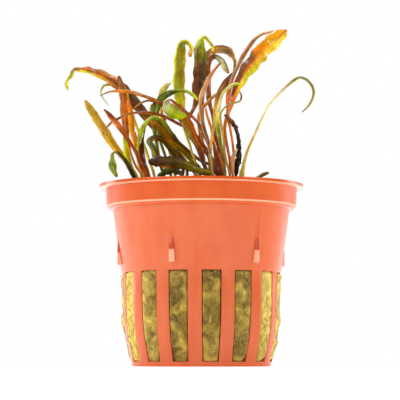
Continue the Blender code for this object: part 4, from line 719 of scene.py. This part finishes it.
def turned_wall(name, profile, sides):
    """A circle extruded and resized down a profile of (radius, height) in mm."""
    radius, height = profile[0]
    deselect_all()
    bpy.ops.mesh.primitive_circle_add(vertices=sides, radius=radius * MM, location=(0.0, 0.0, height * MM))
    made = named_new(name)
    bpy.ops.object.mode_set(mode="EDIT")
    bpy.ops.mesh.select_all(action="SELECT")
    for (start, top), (end, foot) in zip(profile, profile[1:]):
        bpy.ops.mesh.extrude_edges_indiv()
        bpy.ops.transform.translate(value=(0.0, 0.0, (foot - top) * MM))
        bpy.ops.transform.resize(value=(end / start, end / start, 1.0), center_override=(0.0, 0.0, foot * MM))
    bpy.ops.object.mode_set(mode="OBJECT")
    settle(made)
    return made


def pot_profile():
    """Outer side of the pot from the lip's edge down to the middle of the base."""
    points = [(LIP_RADIUS, LIP_FOOT), (COLLAR_TOP_RADIUS, LIP_FOOT), (COLLAR_FOOT_RADIUS, COLLAR_FOOT)]
    depth, drop = COLLAR_FOOT_RADIUS - STEP_RADIUS, COLLAR_FOOT - STEP_FOOT
    for angle in (22, 45, 68, 90):
        turn = math.radians(angle)
        points.append((COLLAR_FOOT_RADIUS - depth * (1 - math.cos(turn)), COLLAR_FOOT - drop * math.sin(turn)))
    points += [(WALL_FOOT_RADIUS, WALL_FOOT), *BARREL, (BASE_RADIUS, BASE_CHAMFER)]
    points += [(BASE_RADIUS - BASE_CHAMFER, 0.0), (12.0, 0.0), (4.0, 0.0), (0.001, 0.0)]
    return points


def rib_turn(column, radius):
    """Angle of a column of the pot, in radians from the first rib's middle, with ribs of one width all the way."""
    pitch = math.tau / RIBS
    half = math.asin(RIB_WIDTH / 2 / max(radius, BASE_RADIUS))
    index, step = divmod(column, RIB_COLUMNS + SLOT_COLUMNS)
    if step <= RIB_COLUMNS:
        return index * pitch - half + step * 2 * half / RIB_COLUMNS
    return index * pitch + half + (step - RIB_COLUMNS) * (pitch - 2 * half) / SLOT_COLUMNS


def in_slot(x, y):
    """Whether a direction from the axis falls in a slot."""
    pitch = 360.0 / RIBS
    turn = math.degrees(math.atan2(x, -y)) - RIB_ANGLE
    off = abs((turn + pitch / 2) % pitch - pitch / 2)
    return off * math.radians(1.0) * math.hypot(x, y) > RIB_WIDTH / 2 * MM


def lug(turn):
    """A wedge with an upright foot and a sloping top, shaped from a cube."""
    slope = (STEP_RADIUS - WALL_FOOT_RADIUS) / (STEP_FOOT - WALL_FOOT)
    wall_at = {height: WALL_FOOT_RADIUS + slope * (height - WALL_FOOT) for height in (LUG_FOOT, LUG_BEND, LUG_TOP)}
    deselect_all()
    bpy.ops.mesh.primitive_cube_add(size=2.0 * MM)
    made = named_new("lug")
    bpy.ops.object.mode_set(mode="EDIT")
    bpy.ops.mesh.select_all(action="SELECT")
    bpy.ops.mesh.bisect(plane_co=(0.0, 0.0, 0.0), plane_no=(0.0, 0.0, 1.0))
    bpy.ops.object.mode_set(mode="OBJECT")
    place = Matrix.Rotation(math.radians(turn), 4, "Z")
    root = wall_at[LUG_FOOT] - WALL / 2
    for corner in made.data.vertices:
        level = 0 if corner.co.z < -MM / 2 else 2 if corner.co.z > MM / 2 else 1
        height = (LUG_FOOT, LUG_BEND, LUG_TOP)[level]
        width = (LUG_WIDTH, LUG_WIDTH, LUG_TOP_WIDTH)[level]
        reach = wall_at[LUG_TOP] + LUG_LEDGE if level == 2 else wall_at[LUG_BEND] + LUG_REACH
        radius = reach if corner.co.y < 0 else root
        corner.co = place @ (Vector((math.copysign(width / 2, corner.co.x), -radius, height)) * MM)
    close_and_face_out(made)
    return made


def base_hole(turn):
    deselect_all()
    bpy.ops.mesh.primitive_cube_add(size=1.0)
    made = named_new("base_hole")
    made.scale = (BASE_HOLE_WIDTH * MM, (BASE_HOLE_OUTER - BASE_HOLE_INNER) * MM, 4.0 * WALL * MM)
    made.location = Matrix.Rotation(turn, 4, "Z") @ Vector((0.0, -(BASE_HOLE_OUTER + BASE_HOLE_INNER) / 2 * MM, 0.0))
    made.rotation_euler = (0.0, 0.0, turn)
    settle(made)
    return made


def combine(made, others, operation):
    for other in others:
        modifier = made.modifiers.new(operation, "BOOLEAN")
        modifier.operation = operation
        modifier.object = other
        modifier.solver = "EXACT"
    apply_modifiers(made)
    for other in others:
        bpy.data.objects.remove(other, do_unlink=True)


def net_pot(material):
    columns = RIBS * (RIB_COLUMNS + SLOT_COLUMNS)
    made = turned_wall("pot_shell", pot_profile(), columns)
    step = math.tau / columns
    first = Matrix.Rotation(math.radians(RIB_ANGLE), 4, "Z")
    for corner in made.data.vertices:
        radius = math.hypot(corner.co.x, corner.co.y)
        column = round(math.atan2(corner.co.x, -corner.co.y) / step) % columns
        turn = rib_turn(column, radius / MM)
        corner.co = first @ Vector((radius * math.sin(turn), -radius * math.cos(turn), corner.co.z))
    close_and_face_out(made, 0.00001)
    base = min(made.data.polygons, key=lambda face: face.center.z)
    bpy.ops.object.mode_set(mode="EDIT")
    if base.normal.z > 0:
        bpy.ops.mesh.flip_normals()
    bpy.ops.mesh.select_all(action="DESELECT")
    bpy.ops.object.mode_set(mode="OBJECT")
    for face in made.data.polygons:
        low, high = SLOT_FOOT * MM, SLOT_TOP * MM
        face.select = low < face.center.z < high and in_slot(face.center.x, face.center.y)
    bpy.ops.object.mode_set(mode="EDIT")
    bpy.ops.mesh.select_mode(type="FACE")
    bpy.ops.mesh.delete(type="FACE")
    bpy.ops.object.mode_set(mode="OBJECT")
    wall = made.modifiers.new("wall", "SOLIDIFY")
    wall.thickness, wall.offset, wall.use_even_offset = WALL * MM, -1.0, True
    apply_modifiers(made)
    combine(made, [lug(LUG_ANGLE + index * 360.0 / LUGS) for index in range(LUGS)], "UNION")
    combine(made, [base_hole(index * math.tau / BASE_HOLES) for index in range(BASE_HOLES)], "DIFFERENCE")
    edges = made.modifiers.new("edges", "BEVEL")
    edges.width, edges.segments, edges.limit_method = EDGE_ROUNDING * MM, 2, "ANGLE"
    edges.angle_limit = math.radians(35)
    apply_modifiers(made)
    bpy.ops.object.shade_smooth_by_angle(angle=math.radians(40))
    finish_piece(made, material, "pot", "net_pot")
    return made


# Rock wool

def wall_inside(height):
    """Radius of the pot's inner side at a height, in mm."""
    levels = ((STEP_RADIUS, STEP_FOOT), (WALL_FOOT_RADIUS, WALL_FOOT), *BARREL)
    for (upper, top), (lower, foot) in zip(levels, levels[1:]):
        if height >= foot:
            share = min(max((height - foot) / (top - foot), 0.0), 1.2)
            return lower + (upper - lower) * share - WALL
    return BARREL[-1][0] - WALL


def wool_point(polar, turn):
    """Point of the wool's skin, in mm, and its painted shade: 1 is open and unshaded, 0 lies deep in a fold or recess
    and is painted darkest; lumps are painted lighter.
    """
    shoulder, heel = 0.24, 0.86
    if polar < shoulder:
        share = polar / shoulder
        radius, height, out = WOOL_TOP_RADIUS * share, WOOL_TOP, 0.0
    elif polar > heel:
        share = (1.0 - polar) / (1.0 - heel)
        radius, height, out = (wall_inside(WOOL_FOOT) - 0.4) * share, WOOL_FOOT, 0.0
    else:
        share = (polar - shoulder) / (heel - shoulder)
        height = WOOL_TOP + (WOOL_FOOT - WOOL_TOP) * share
        radius, out = wall_inside(height) - 0.35, 1.0
    x, y = radius * math.sin(turn), -radius * math.cos(turn)
    spot = Vector((x, y, height))
    drift = Vector((noise.noise(spot * 0.16), noise.noise(spot * 0.16 + Vector((5.0, 5.0, 5.0))), 0.0)) * 3.0
    bed = Vector((spot.x, spot.y, spot.z * 1.3)) + drift
    lumps = noise.noise(bed * 0.17) + 0.55 * noise.noise(bed * 0.36 + Vector((9.0, 3.0, 1.0)))
    crease = max(1.0 - abs(noise.noise(bed * 0.15 + Vector((2.0, 7.0, 5.0)))) * 5.0, 0.0) ** 1.5
    tufts = noise.noise(spot * 0.9) + 0.6 * noise.noise(spot * 2.1) + 0.4 * noise.noise(spot * 4.2)
    if out:
        pitch = 360.0 / RIBS
        off = abs((math.degrees(turn) - RIB_ANGLE + pitch / 2) % pitch - pitch / 2)
        edge = math.radians(off) * radius - RIB_WIDTH / 2
        gap = 2.4 * max(noise.noise(Vector((x * 0.2, y * 0.2, 3.0))) + 0.05, 0.0)
        open_share = smoothstep(-0.1, 0.2, edge) * smoothstep(SLOT_FOOT + gap - 0.5, SLOT_FOOT + gap + 0.6, height)
        open_share *= smoothstep(26.4, 24.6, height)
        bulge = smoothstep(0.0, 1.3, edge)
        push = open_share * (1.27 + bulge * (0.25 + 0.6 * lumps - 0.6 * crease) + 0.12 * tufts)
        radius += push + (1.0 - open_share) * -0.1
        x, y = radius * math.sin(turn), -radius * math.cos(turn)
        # Painted shade: darker in the creases and by the ribs at the slot edges, lighter on the lumps.
        shade = 0.75 * crease * bulge + 0.35 * (1.0 - open_share) - 0.9 * lumps - 0.15 * tufts
        return Vector((x, y, height)), 1.0 - min(max(shade, 0.0), 1.0)
    lift = smoothstep(0.0, 0.06, abs(polar - shoulder)) if polar < shoulder else 0.0
    height += (0.9 * lumps + 0.4 * tufts - 0.8 * crease) * (0.35 + 0.65 * lift) if polar < shoulder else 0.0
    # Painted shade in the creases of the top.
    return Vector((x, y, height)), 1.0 - min(crease, 1.0)


def rock_wool(material):
    deselect_all()
    bpy.ops.mesh.primitive_uv_sphere_add(segments=WOOL_SEGMENTS, ring_count=WOOL_RINGS, radius=1.0)
    made = named_new("wool_plug")
    crease_shades = []
    for corner in made.data.vertices:
        polar = math.acos(max(-1.0, min(1.0, corner.co.z))) / math.pi
        turn = math.atan2(corner.co.x, -corner.co.y)
        point, fold = wool_point(polar, turn)
        corner.co = point * MM
        crease_shades.append(fold)
    # The painted shade goes to the material as the fold attribute.
    made.data.attributes.new("fold", "FLOAT", "POINT").data.foreach_set("value", crease_shades)
    pick(made)
    bpy.ops.object.shade_smooth()
    finish_piece(made, material, "wool", "rock_wool")
    return made


def strand_form(sides, rings):
    """A capped tube of the given sides along Z from -0.5 to 0.5, shaped from a cylinder, to copy along a path."""
    deselect_all()
    bpy.ops.mesh.primitive_cylinder_add(vertices=sides, radius=1.0, depth=1.0, end_fill_type="TRIFAN")
    made = named_new("strand_form")
    bpy.ops.object.mode_set(mode="EDIT")
    bpy.ops.mesh.select_all(action="SELECT")
    for ring in range(1, rings):
        bpy.ops.mesh.select_all(action="SELECT")
        bpy.ops.mesh.bisect(plane_co=(0.0, 0.0, ring / rings - 0.5), plane_no=(0.0, 0.0, 1.0))
    bpy.ops.object.mode_set(mode="OBJECT")
    return made


def strands(name, form, paths, material, slot):
    """One mesh of many strands. A path is (function of 0 to 1, radius in mm), and its ends taper."""
    bm = bmesh.new()
    source = form.data
    for path, thickness in paths:
        start = len(bm.verts)
        bm.from_mesh(source)
        bm.verts.ensure_lookup_table()
        for corner in bm.verts[start:]:
            share = corner.co.z + 0.5
            here = path(share)
            along = (path(min(share + 0.05, 1.0)) - path(max(share - 0.05, 0.0))).normalized()
            side = along.orthogonal().normalized()
            taper = thickness * (1.0 - 0.75 * abs(2 * share - 1) ** 3)
            offset = side * corner.co.x + along.cross(side) * corner.co.y
            corner.co = (here + offset * taper) * MM
    made = bpy.data.objects.new(name, bpy.data.meshes.new(name))
    bm.to_mesh(made.data)
    bm.free()
    bpy.context.scene.collection.objects.link(made)
    close_and_face_out(made, 1e-8)
    bpy.ops.object.shade_smooth()
    finish_piece(made, material, slot)
    return made


def fibre_path(rng):
    """A short bent strand that lies on the wool in a slot or on its top."""
    on_top = rng.random() < 0.24
    length = rng.uniform(1.6, 5.0)
    heading = rng.uniform(0, math.tau)
    lift, curl = rng.uniform(0.02, 0.18), rng.uniform(-0.9, 0.9)
    if on_top:
        radius, turn = 21.5 * math.sqrt(rng.random()), rng.uniform(0, math.tau)

        def path(share):
            bend = heading + curl * share
            x = radius * math.sin(turn) + length * (share - 0.5) * math.cos(bend)
            y = -radius * math.cos(turn) + length * (share - 0.5) * math.sin(bend)
            reach = min(math.hypot(x, y), 22.0)
            flat = math.atan2(x, -y)
            skin, _ = wool_point(0.24 * reach / WOOL_TOP_RADIUS, flat)
            return skin + Vector((0, 0, lift * math.sin(math.pi * share) + 0.04))
        return path, rng.uniform(0.035, 0.075)
    index = rng.randrange(RIBS)
    height = rng.uniform(2.4, 25.2)
    across = rng.uniform(-1.0, 1.0)
    middle = math.radians(RIB_ANGLE + (index + 0.5) * 360.0 / RIBS)
    slope = rng.choice((rng.gauss(math.pi / 2, 0.5), rng.uniform(0, math.pi)))

    def path(share):
        radius = wall_inside(height)
        room = math.pi * radius / RIBS - RIB_WIDTH / 2 - 0.25
        bend = slope + curl * (share - 0.5)
        sideways = across * room + length * (share - 0.5) * math.cos(bend)
        sideways = min(max(sideways, -room), room)
        up = min(max(height + length * (share - 0.5) * math.sin(bend), 1.8), 25.3)
        polar = 0.24 + 0.62 * (WOOL_TOP - up) / (WOOL_TOP - WOOL_FOOT)
        skin, _ = wool_point(polar, middle + sideways / radius)
        outward = Vector((skin.x, skin.y, 0.0)).normalized()
        return skin + outward * (lift * math.sin(math.pi * share) + 0.03)
    return path, rng.uniform(0.025, 0.055)


# Crowns and roots

def crown_piece(name, centre, material, rng):
    """A short stock with stepped leaf scars, shaped from a cone of many rings."""
    deselect_all()
    depth = CROWN_TOP + 0.7 - CROWN_FOOT
    bpy.ops.mesh.primitive_cylinder_add(vertices=28, radius=1.0, depth=1.0, end_fill_type="TRIFAN")
    made = named_new(f"crown_{name}_stock")
    bpy.ops.object.mode_set(mode="EDIT")
    rings = 18
    for ring in range(1, rings):
        bpy.ops.mesh.select_all(action="SELECT")
        bpy.ops.mesh.bisect(plane_co=(0.0, 0.0, ring / rings - 0.5), plane_no=(0.0, 0.0, 1.0))
    bpy.ops.object.mode_set(mode="OBJECT")
    shift = Vector((rng.uniform(0, 50), rng.uniform(0, 50), 0))
    for corner in made.data.vertices:
        share = corner.co.z + 0.5
        reach = math.hypot(corner.co.x, corner.co.y)
        turn = math.atan2(corner.co.y, corner.co.x)
        radius = CROWN_FOOT_RADIUS + (CROWN_TOP_RADIUS - CROWN_FOOT_RADIUS) * share
        radius *= 1.0 - 0.4 * smoothstep(0.86, 1.0, share)
        height = share * depth
        spot = Vector((math.cos(turn), math.sin(turn), height * 0.5)) * 1.7 + shift
        ridge = 0.22 * abs(math.sin(height * 2.6 + 1.2 * math.sin(turn + shift.x)))
        radius *= reach
        radius += reach * (0.32 * noise.noise(spot) - ridge)
        height += (1.0 - reach) * 0.5 * (1 if share > 0.5 else 0)
        corner.co = Vector((centre[0] + radius * math.cos(turn), centre[1] + radius * math.sin(turn),
                            CROWN_FOOT + height)) * MM
    pick(made)
    bpy.ops.object.shade_smooth()
    finish_piece(made, material, "crown", f"crown_{name}")
    return made


def root_path(rng, centre):
    """A thin root that leaves a crown and creeps over the wool."""
    turn = rng.uniform(0, math.tau)
    length, sway = rng.uniform(2.5, 7.5), rng.uniform(-1.2, 1.2)
    start = rng.uniform(41.6, 43.2)

    def path(share):
        reach = CROWN_TOP_RADIUS + 0.1 + length * share
        bend = turn + sway * share ** 2 * 0.6
        x, y = centre[0] + reach * math.cos(bend), centre[1] + reach * math.sin(bend)
        radial = math.hypot(x, y)
        if radial > 21.4:
            x, y, radial = x * 21.4 / radial, y * 21.4 / radial, 21.4
        skin, _ = wool_point(0.24 * radial / WOOL_TOP_RADIUS, math.atan2(x, -y))
        fall = smoothstep(0.0, 0.45, share)
        return Vector((x, y, start + (skin.z + 0.12 - start) * fall))
    return path, rng.uniform(0.12, 0.24)


# Leaves

def blend(values, place):
    """Smooth value at place (0 to 1) along values that are spread evenly."""
    last = len(values) - 1
    spot = min(max(place, 0.0), 1.0) * last
    index = min(int(spot), last - 1)
    part = spot - index
    before, start, end, after = (values[min(max(index + step, 0), last)] for step in (-1, 0, 1, 2))
    return 0.5 * ((2 * start) + (end - before) * part + (2 * before - 5 * start + 4 * end - after) * part ** 2
                  + (3 * start - before - 3 * end + after) * part ** 3)


def seen_point(across, up, depth):
    """The point at this depth that the eye sees at (across, up) on the plane of the pot's axis."""
    scale = (EYE_DISTANCE + depth) / EYE_DISTANCE
    return Vector((EYE_ACROSS + (across - EYE_ACROSS) * scale, depth, EYE_HEIGHT + (up - EYE_HEIGHT) * scale))


def leaf_line(crown_name, root, depths, points):
    angle = math.radians(root)
    across, depth = CROWNS[crown_name]
    line = [Vector((across + ROOT_RADIUS * math.cos(angle), depth + ROOT_RADIUS * math.sin(angle),
                    CROWN_TOP + ROOT_GAP))]
    widths = [STALK_WIDTH]
    for index, (point_across, point_up, width) in enumerate(points):
        line.append(seen_point(point_across, point_up, blend(depths, index / (len(points) - 1))))
        widths.append(width)
    return line, widths


def leaf_tint(look, place, share, front):
    """Colour of a leaf at a place along it and a share of its half width (-1 is its left margin)."""
    if not front and "back" in look:
        colour = gradient(look["back"], place)
    else:
        colour = gradient(look["mid"], place)
        edge = look.get("left" if share < 0 else "right")
        if edge:
            low, high = look.get("split", EDGE_SPLIT)
            colour = colour.lerp(gradient(edge, place), smoothstep(low, high, abs(share)))
        if "rib" in look:
            rib, strength = look["rib"]
            colour = colour.lerp(linear(rib), strength * math.exp(-(share / 0.13) ** 2))
    if not front and "back" not in look:
        paler = Vector((0.5, 0.42, 0.3)) * sum(colour) / 2.2
        colour = colour.lerp(paler, 0.3)
    return colour


def leaf_piece(row, order, materials):
    """A leaf with its stalk: a grid rolled to a closed lens section along the leaf's line."""
    name, crown_name, root, finish, depths, turns, points = row
    look = LOOKS[name]
    rng = random.Random(order)
    line, widths = leaf_line(crown_name, root, depths, points)
    length = sum((end - start).length for start, end in zip(line, line[1:]))
    rows = max(30, int(length / ROW_PITCH))
    amplitude, wave, ruffle_start, _ = look.get("ruffle", (0.05, 5.0, 0.5, 1.0))
    left_phase, right_phase, seed = rng.uniform(0, math.tau), rng.uniform(0, math.tau), rng.uniform(0, 100)
    ragged = look.get("ragged", 0.07)
    deselect_all()
    bpy.ops.mesh.primitive_grid_add(x_subdivisions=LEAF_COLUMNS, y_subdivisions=rows, size=1.0)
    made = named_new(f"{name}_blade" if name.startswith("leaf") else f"{name}_piece")
    mesh = made.data
    sections = {}
    travelled, last_centre = 0.0, None
    levels = sorted({round(corner.co.y, 5) for corner in mesh.vertices})
    for index, level in enumerate(levels):
        place = max(0.0, (index - 1) / (len(levels) - 2))
        centre = blend(line, place)
        along = (blend(line, place + TANGENT_STEP) - blend(line, place - TANGENT_STEP)).normalized()
        if index == 0:
            towards = Vector((*CROWNS[crown_name], 0.0)) - Vector((centre.x, centre.y, 0.0))
            centre = centre + towards * 0.3 - Vector((0.0, 0.0, ROOT_DEPTH))
        if last_centre is not None:
            travelled += (centre - last_centre).length
        last_centre = centre
        facing = Vector((0.0, 1.0, 0.0)).cross(along).normalized()
        turn = math.radians(blend(turns, max(0.0, place * len(line) - 1) / (len(line) - 1)))
        side = facing * math.cos(turn) + along.cross(facing) * math.sin(turn)
        half = max(blend(widths, place), NARROWEST) / 2
        blade = smoothstep(0.8, 1.3, half * 2)
        half += 0.55 * math.exp(-travelled / 2.6)
        tip = (1.0 - place) * length
        half *= math.sqrt(max(0.0, 1.0 - max(0.0, 1.0 - tip / 0.7) ** 2))
        if index == 0:
            half = 0.3
        sections[level] = (place, centre, along, side, half, blade, travelled)
    uv_of = {}
    tints = [0.0] * (4 * len(mesh.vertices))
    for corner in mesh.vertices:
        place, centre, along, side, half, blade, travelled = sections[round(corner.co.y, 5)]
        turn = (corner.co.x + 0.5) * math.tau
        share, rise = math.cos(turn), math.sin(turn)
        share = math.copysign(abs(share) ** 1.25, share)
        front = rise < 0
        normal = along.cross(side)
        edge_noise = noise.noise(Vector((travelled * 0.55, 4.0 * math.copysign(1, share), seed)))
        edge_fine = noise.noise(Vector((travelled * 1.9, 9.0 * math.copysign(1, share), seed)))
        reach = half * (1.0 + blade * (ragged * 1.6 * edge_noise + ragged * edge_fine) * abs(share))
        phase = left_phase if share < 0 else right_phase
        window = smoothstep(ruffle_start, ruffle_start + 0.12, place)
        wander = 1.0 + 0.5 * noise.noise(Vector((travelled * 0.2, seed, 1.0)))
        swing = math.tau * travelled / wave + phase + 1.6 * noise.noise(Vector((travelled * 0.3, seed, 7.0)))
        ruffle = amplitude * blade * window * wander * abs(share) ** 1.5 * (math.sin(swing) + 0.35 * math.sin(2.3 * swing))
        reach += half * blade * window * 0.10 * amplitude / 0.3 * math.cos(swing) * abs(share)
        fold = look.get("fold", BLADE_FOLD) * half * (abs(share) ** 1.1 + 0.25 * math.sin(travelled * 0.45 + seed) * share)
        flat = 0.05 * math.sqrt(max(0.0, 1.0 - share ** 4)) + 0.012
        rib = 0.12 * math.exp(-(share / 0.1) ** 2) * (1.0 if not front else -0.2)
        thick_blade = flat + rib
        thick_stalk = half * (0.72 * abs(rise) + 0.1 * math.cos(3 * turn))
        thickness = (thick_stalk + (thick_blade - thick_stalk) * blade) * min(1.0, half / 0.12)
        if abs(rise) < 1e-4:
            thickness = 0.0
        lift = fold + ruffle + math.copysign(thickness, rise)
        corner.co = (centre + side * (share * reach) + normal * lift) * MM
        uv_of[corner.index] = (share * reach + seed, travelled + seed * 3.0)
        colour = leaf_tint(look, place, share, front)
        tints[corner.index * 4:corner.index * 4 + 4] = (*colour, 1.0)
    mesh.color_attributes.new("tint", "FLOAT_COLOR", "POINT").data.foreach_set("color", tints)
    flat_map = mesh.uv_layers.active or mesh.uv_layers.new()
    flat_map.name = "leaf_mm"
    for loop in mesh.loops:
        flat_map.data[loop.index].uv = uv_of[loop.vertex_index]
    close_and_face_out(made)
    bpy.ops.object.shade_smooth_by_angle(angle=math.radians(50))
    finish_piece(made, materials[finish], f"leaf_{finish}", name)
    return made


# Stage

def stage():
    deselect_all()
    bpy.ops.mesh.primitive_plane_add(size=6.0, location=(0.0, 0.0, 0.0))
    floor = named_new("floor")
    floor.location.z = -0.0002
    made, tree, shader = new_material("white_floor")
    shader.inputs["Base Color"].default_value = (0.96, 0.96, 0.96, 1.0)
    shader.inputs["Roughness"].default_value = 0.8
    shader.inputs["Specular IOR Level"].default_value = 0.1
    shader.inputs["Emission Color"].default_value = (1.0, 1.0, 1.0, 1.0)
    shader.inputs["Emission Strength"].default_value = 0.5
    floor.data.materials.append(made)


def softbox(name, place, size, energy, colour=(1.0, 1.0, 1.0)):
    lamp = bpy.data.lights.new(name, "AREA")
    lamp.shape = "SQUARE"
    lamp.size = size
    lamp.energy = energy
    lamp.color = colour
    made = bpy.data.objects.new(name, lamp)
    made.location = place
    made.rotation_euler = (Vector((0.0, 0.0, 0.05)) - Vector(place)).to_track_quat("-Z", "Y").to_euler()
    bpy.context.scene.collection.objects.link(made)


def lighting():
    world = bpy.data.worlds.new("white_room")
    world.use_nodes = True
    tree = world.node_tree
    direction = add_node(tree, "ShaderNodeTexCoord").outputs["Generated"]
    split = add_node(tree, "ShaderNodeSeparateXYZ", None, Vector=direction)
    behind = rescale(tree, split.outputs[1], 0.15, 0.75, ROOM_FRONT, ROOM_BACK)
    glow = calculate(tree, "ADD", behind, rescale(tree, split.outputs[0], -0.9, -0.2, ROOM_LEFT, 0.0))
    background = tree.nodes["Background"]
    background.inputs["Color"].default_value = (1.0, 1.0, 1.0, 1.0)
    tree.links.new(glow, background.inputs["Strength"])
    bpy.context.scene.world = world
    softbox("softbox_left", (-0.50, -0.40, 0.34), 0.24, 1.7)
    softbox("softbox_right", (0.55, -0.30, 0.26), 0.22, 0.9)
    softbox("softbox_top", (0.0, 0.05, 0.85), 0.50, 4.0)
    softbox("strip_left", (-0.38, 0.22, 0.10), 0.16, 0.35)
    softbox("strip_right", (0.38, 0.22, 0.10), 0.16, 0.35)
    bpy.context.scene.view_settings.view_transform = "Standard"


def camera():
    """The photograph's view: level with the foot of the pot and pitched up a little."""
    lens = bpy.data.cameras.new("camera")
    lens.sensor_width = 36.0
    lens.lens = 171.45
    lens.clip_start = 0.01
    made = bpy.data.objects.new("camera", lens)
    made.location = Vector((EYE_ACROSS, -EYE_DISTANCE, EYE_HEIGHT)) * MM
    made.rotation_euler = (math.radians(94.86), 0.0, 0.0)
    bpy.context.scene.collection.objects.link(made)
    bpy.context.scene.camera = made


def leaf_materials():
    """One finish for each leaf slot: roughness, streaks, speckles, glow and mottling."""
    facts = {
        "brown": (0.42, 0.34, 0.45, 0.12, 0.38), "dark": (0.45, 0.34, 0.45, 0.06, 0.45),
        "olive": (0.42, 0.36, 0.75, 0.08, 0.50), "green": (0.38, 0.24, 0.25, 0.18, 0.34),
        "yellow": (0.40, 0.20, 0.25, 0.20, 0.20), "orange": (0.40, 0.24, 0.30, 0.20, 0.22),
        "pink": (0.42, 0.26, 0.30, 0.15, 0.30), "tan": (0.46, 0.26, 0.30, 0.15, 0.34),
    }
    return {finish: leaf_material(f"{finish}_leaf", *facts[finish]) for finish in LEAF_FINISHES}


def build():
    net_pot(pot_material())
    rock_wool(wool_material())
    rng = random.Random(7)
    form = strand_form(3, 4)
    strands("wool_fibres", form, [fibre_path(rng) for _ in range(FIBRES)], fibre_material(), "wool")
    bark = crown_material()
    for name, centre in CROWNS.items():
        crown_piece(name, centre, bark, rng)
    root_form = strand_form(5, 8)
    roots = [root_path(rng, centre) for centre in CROWNS.values() for _ in range(11)]
    strands("fine_roots", root_form, roots, bark, "crown")
    for used in (form, root_form):
        bpy.data.objects.remove(used, do_unlink=True)
    materials = leaf_materials()
    for order, row in enumerate(LEAVES):
        leaf_piece(row, order, materials)
    stage()
    lighting()
    camera()


build()
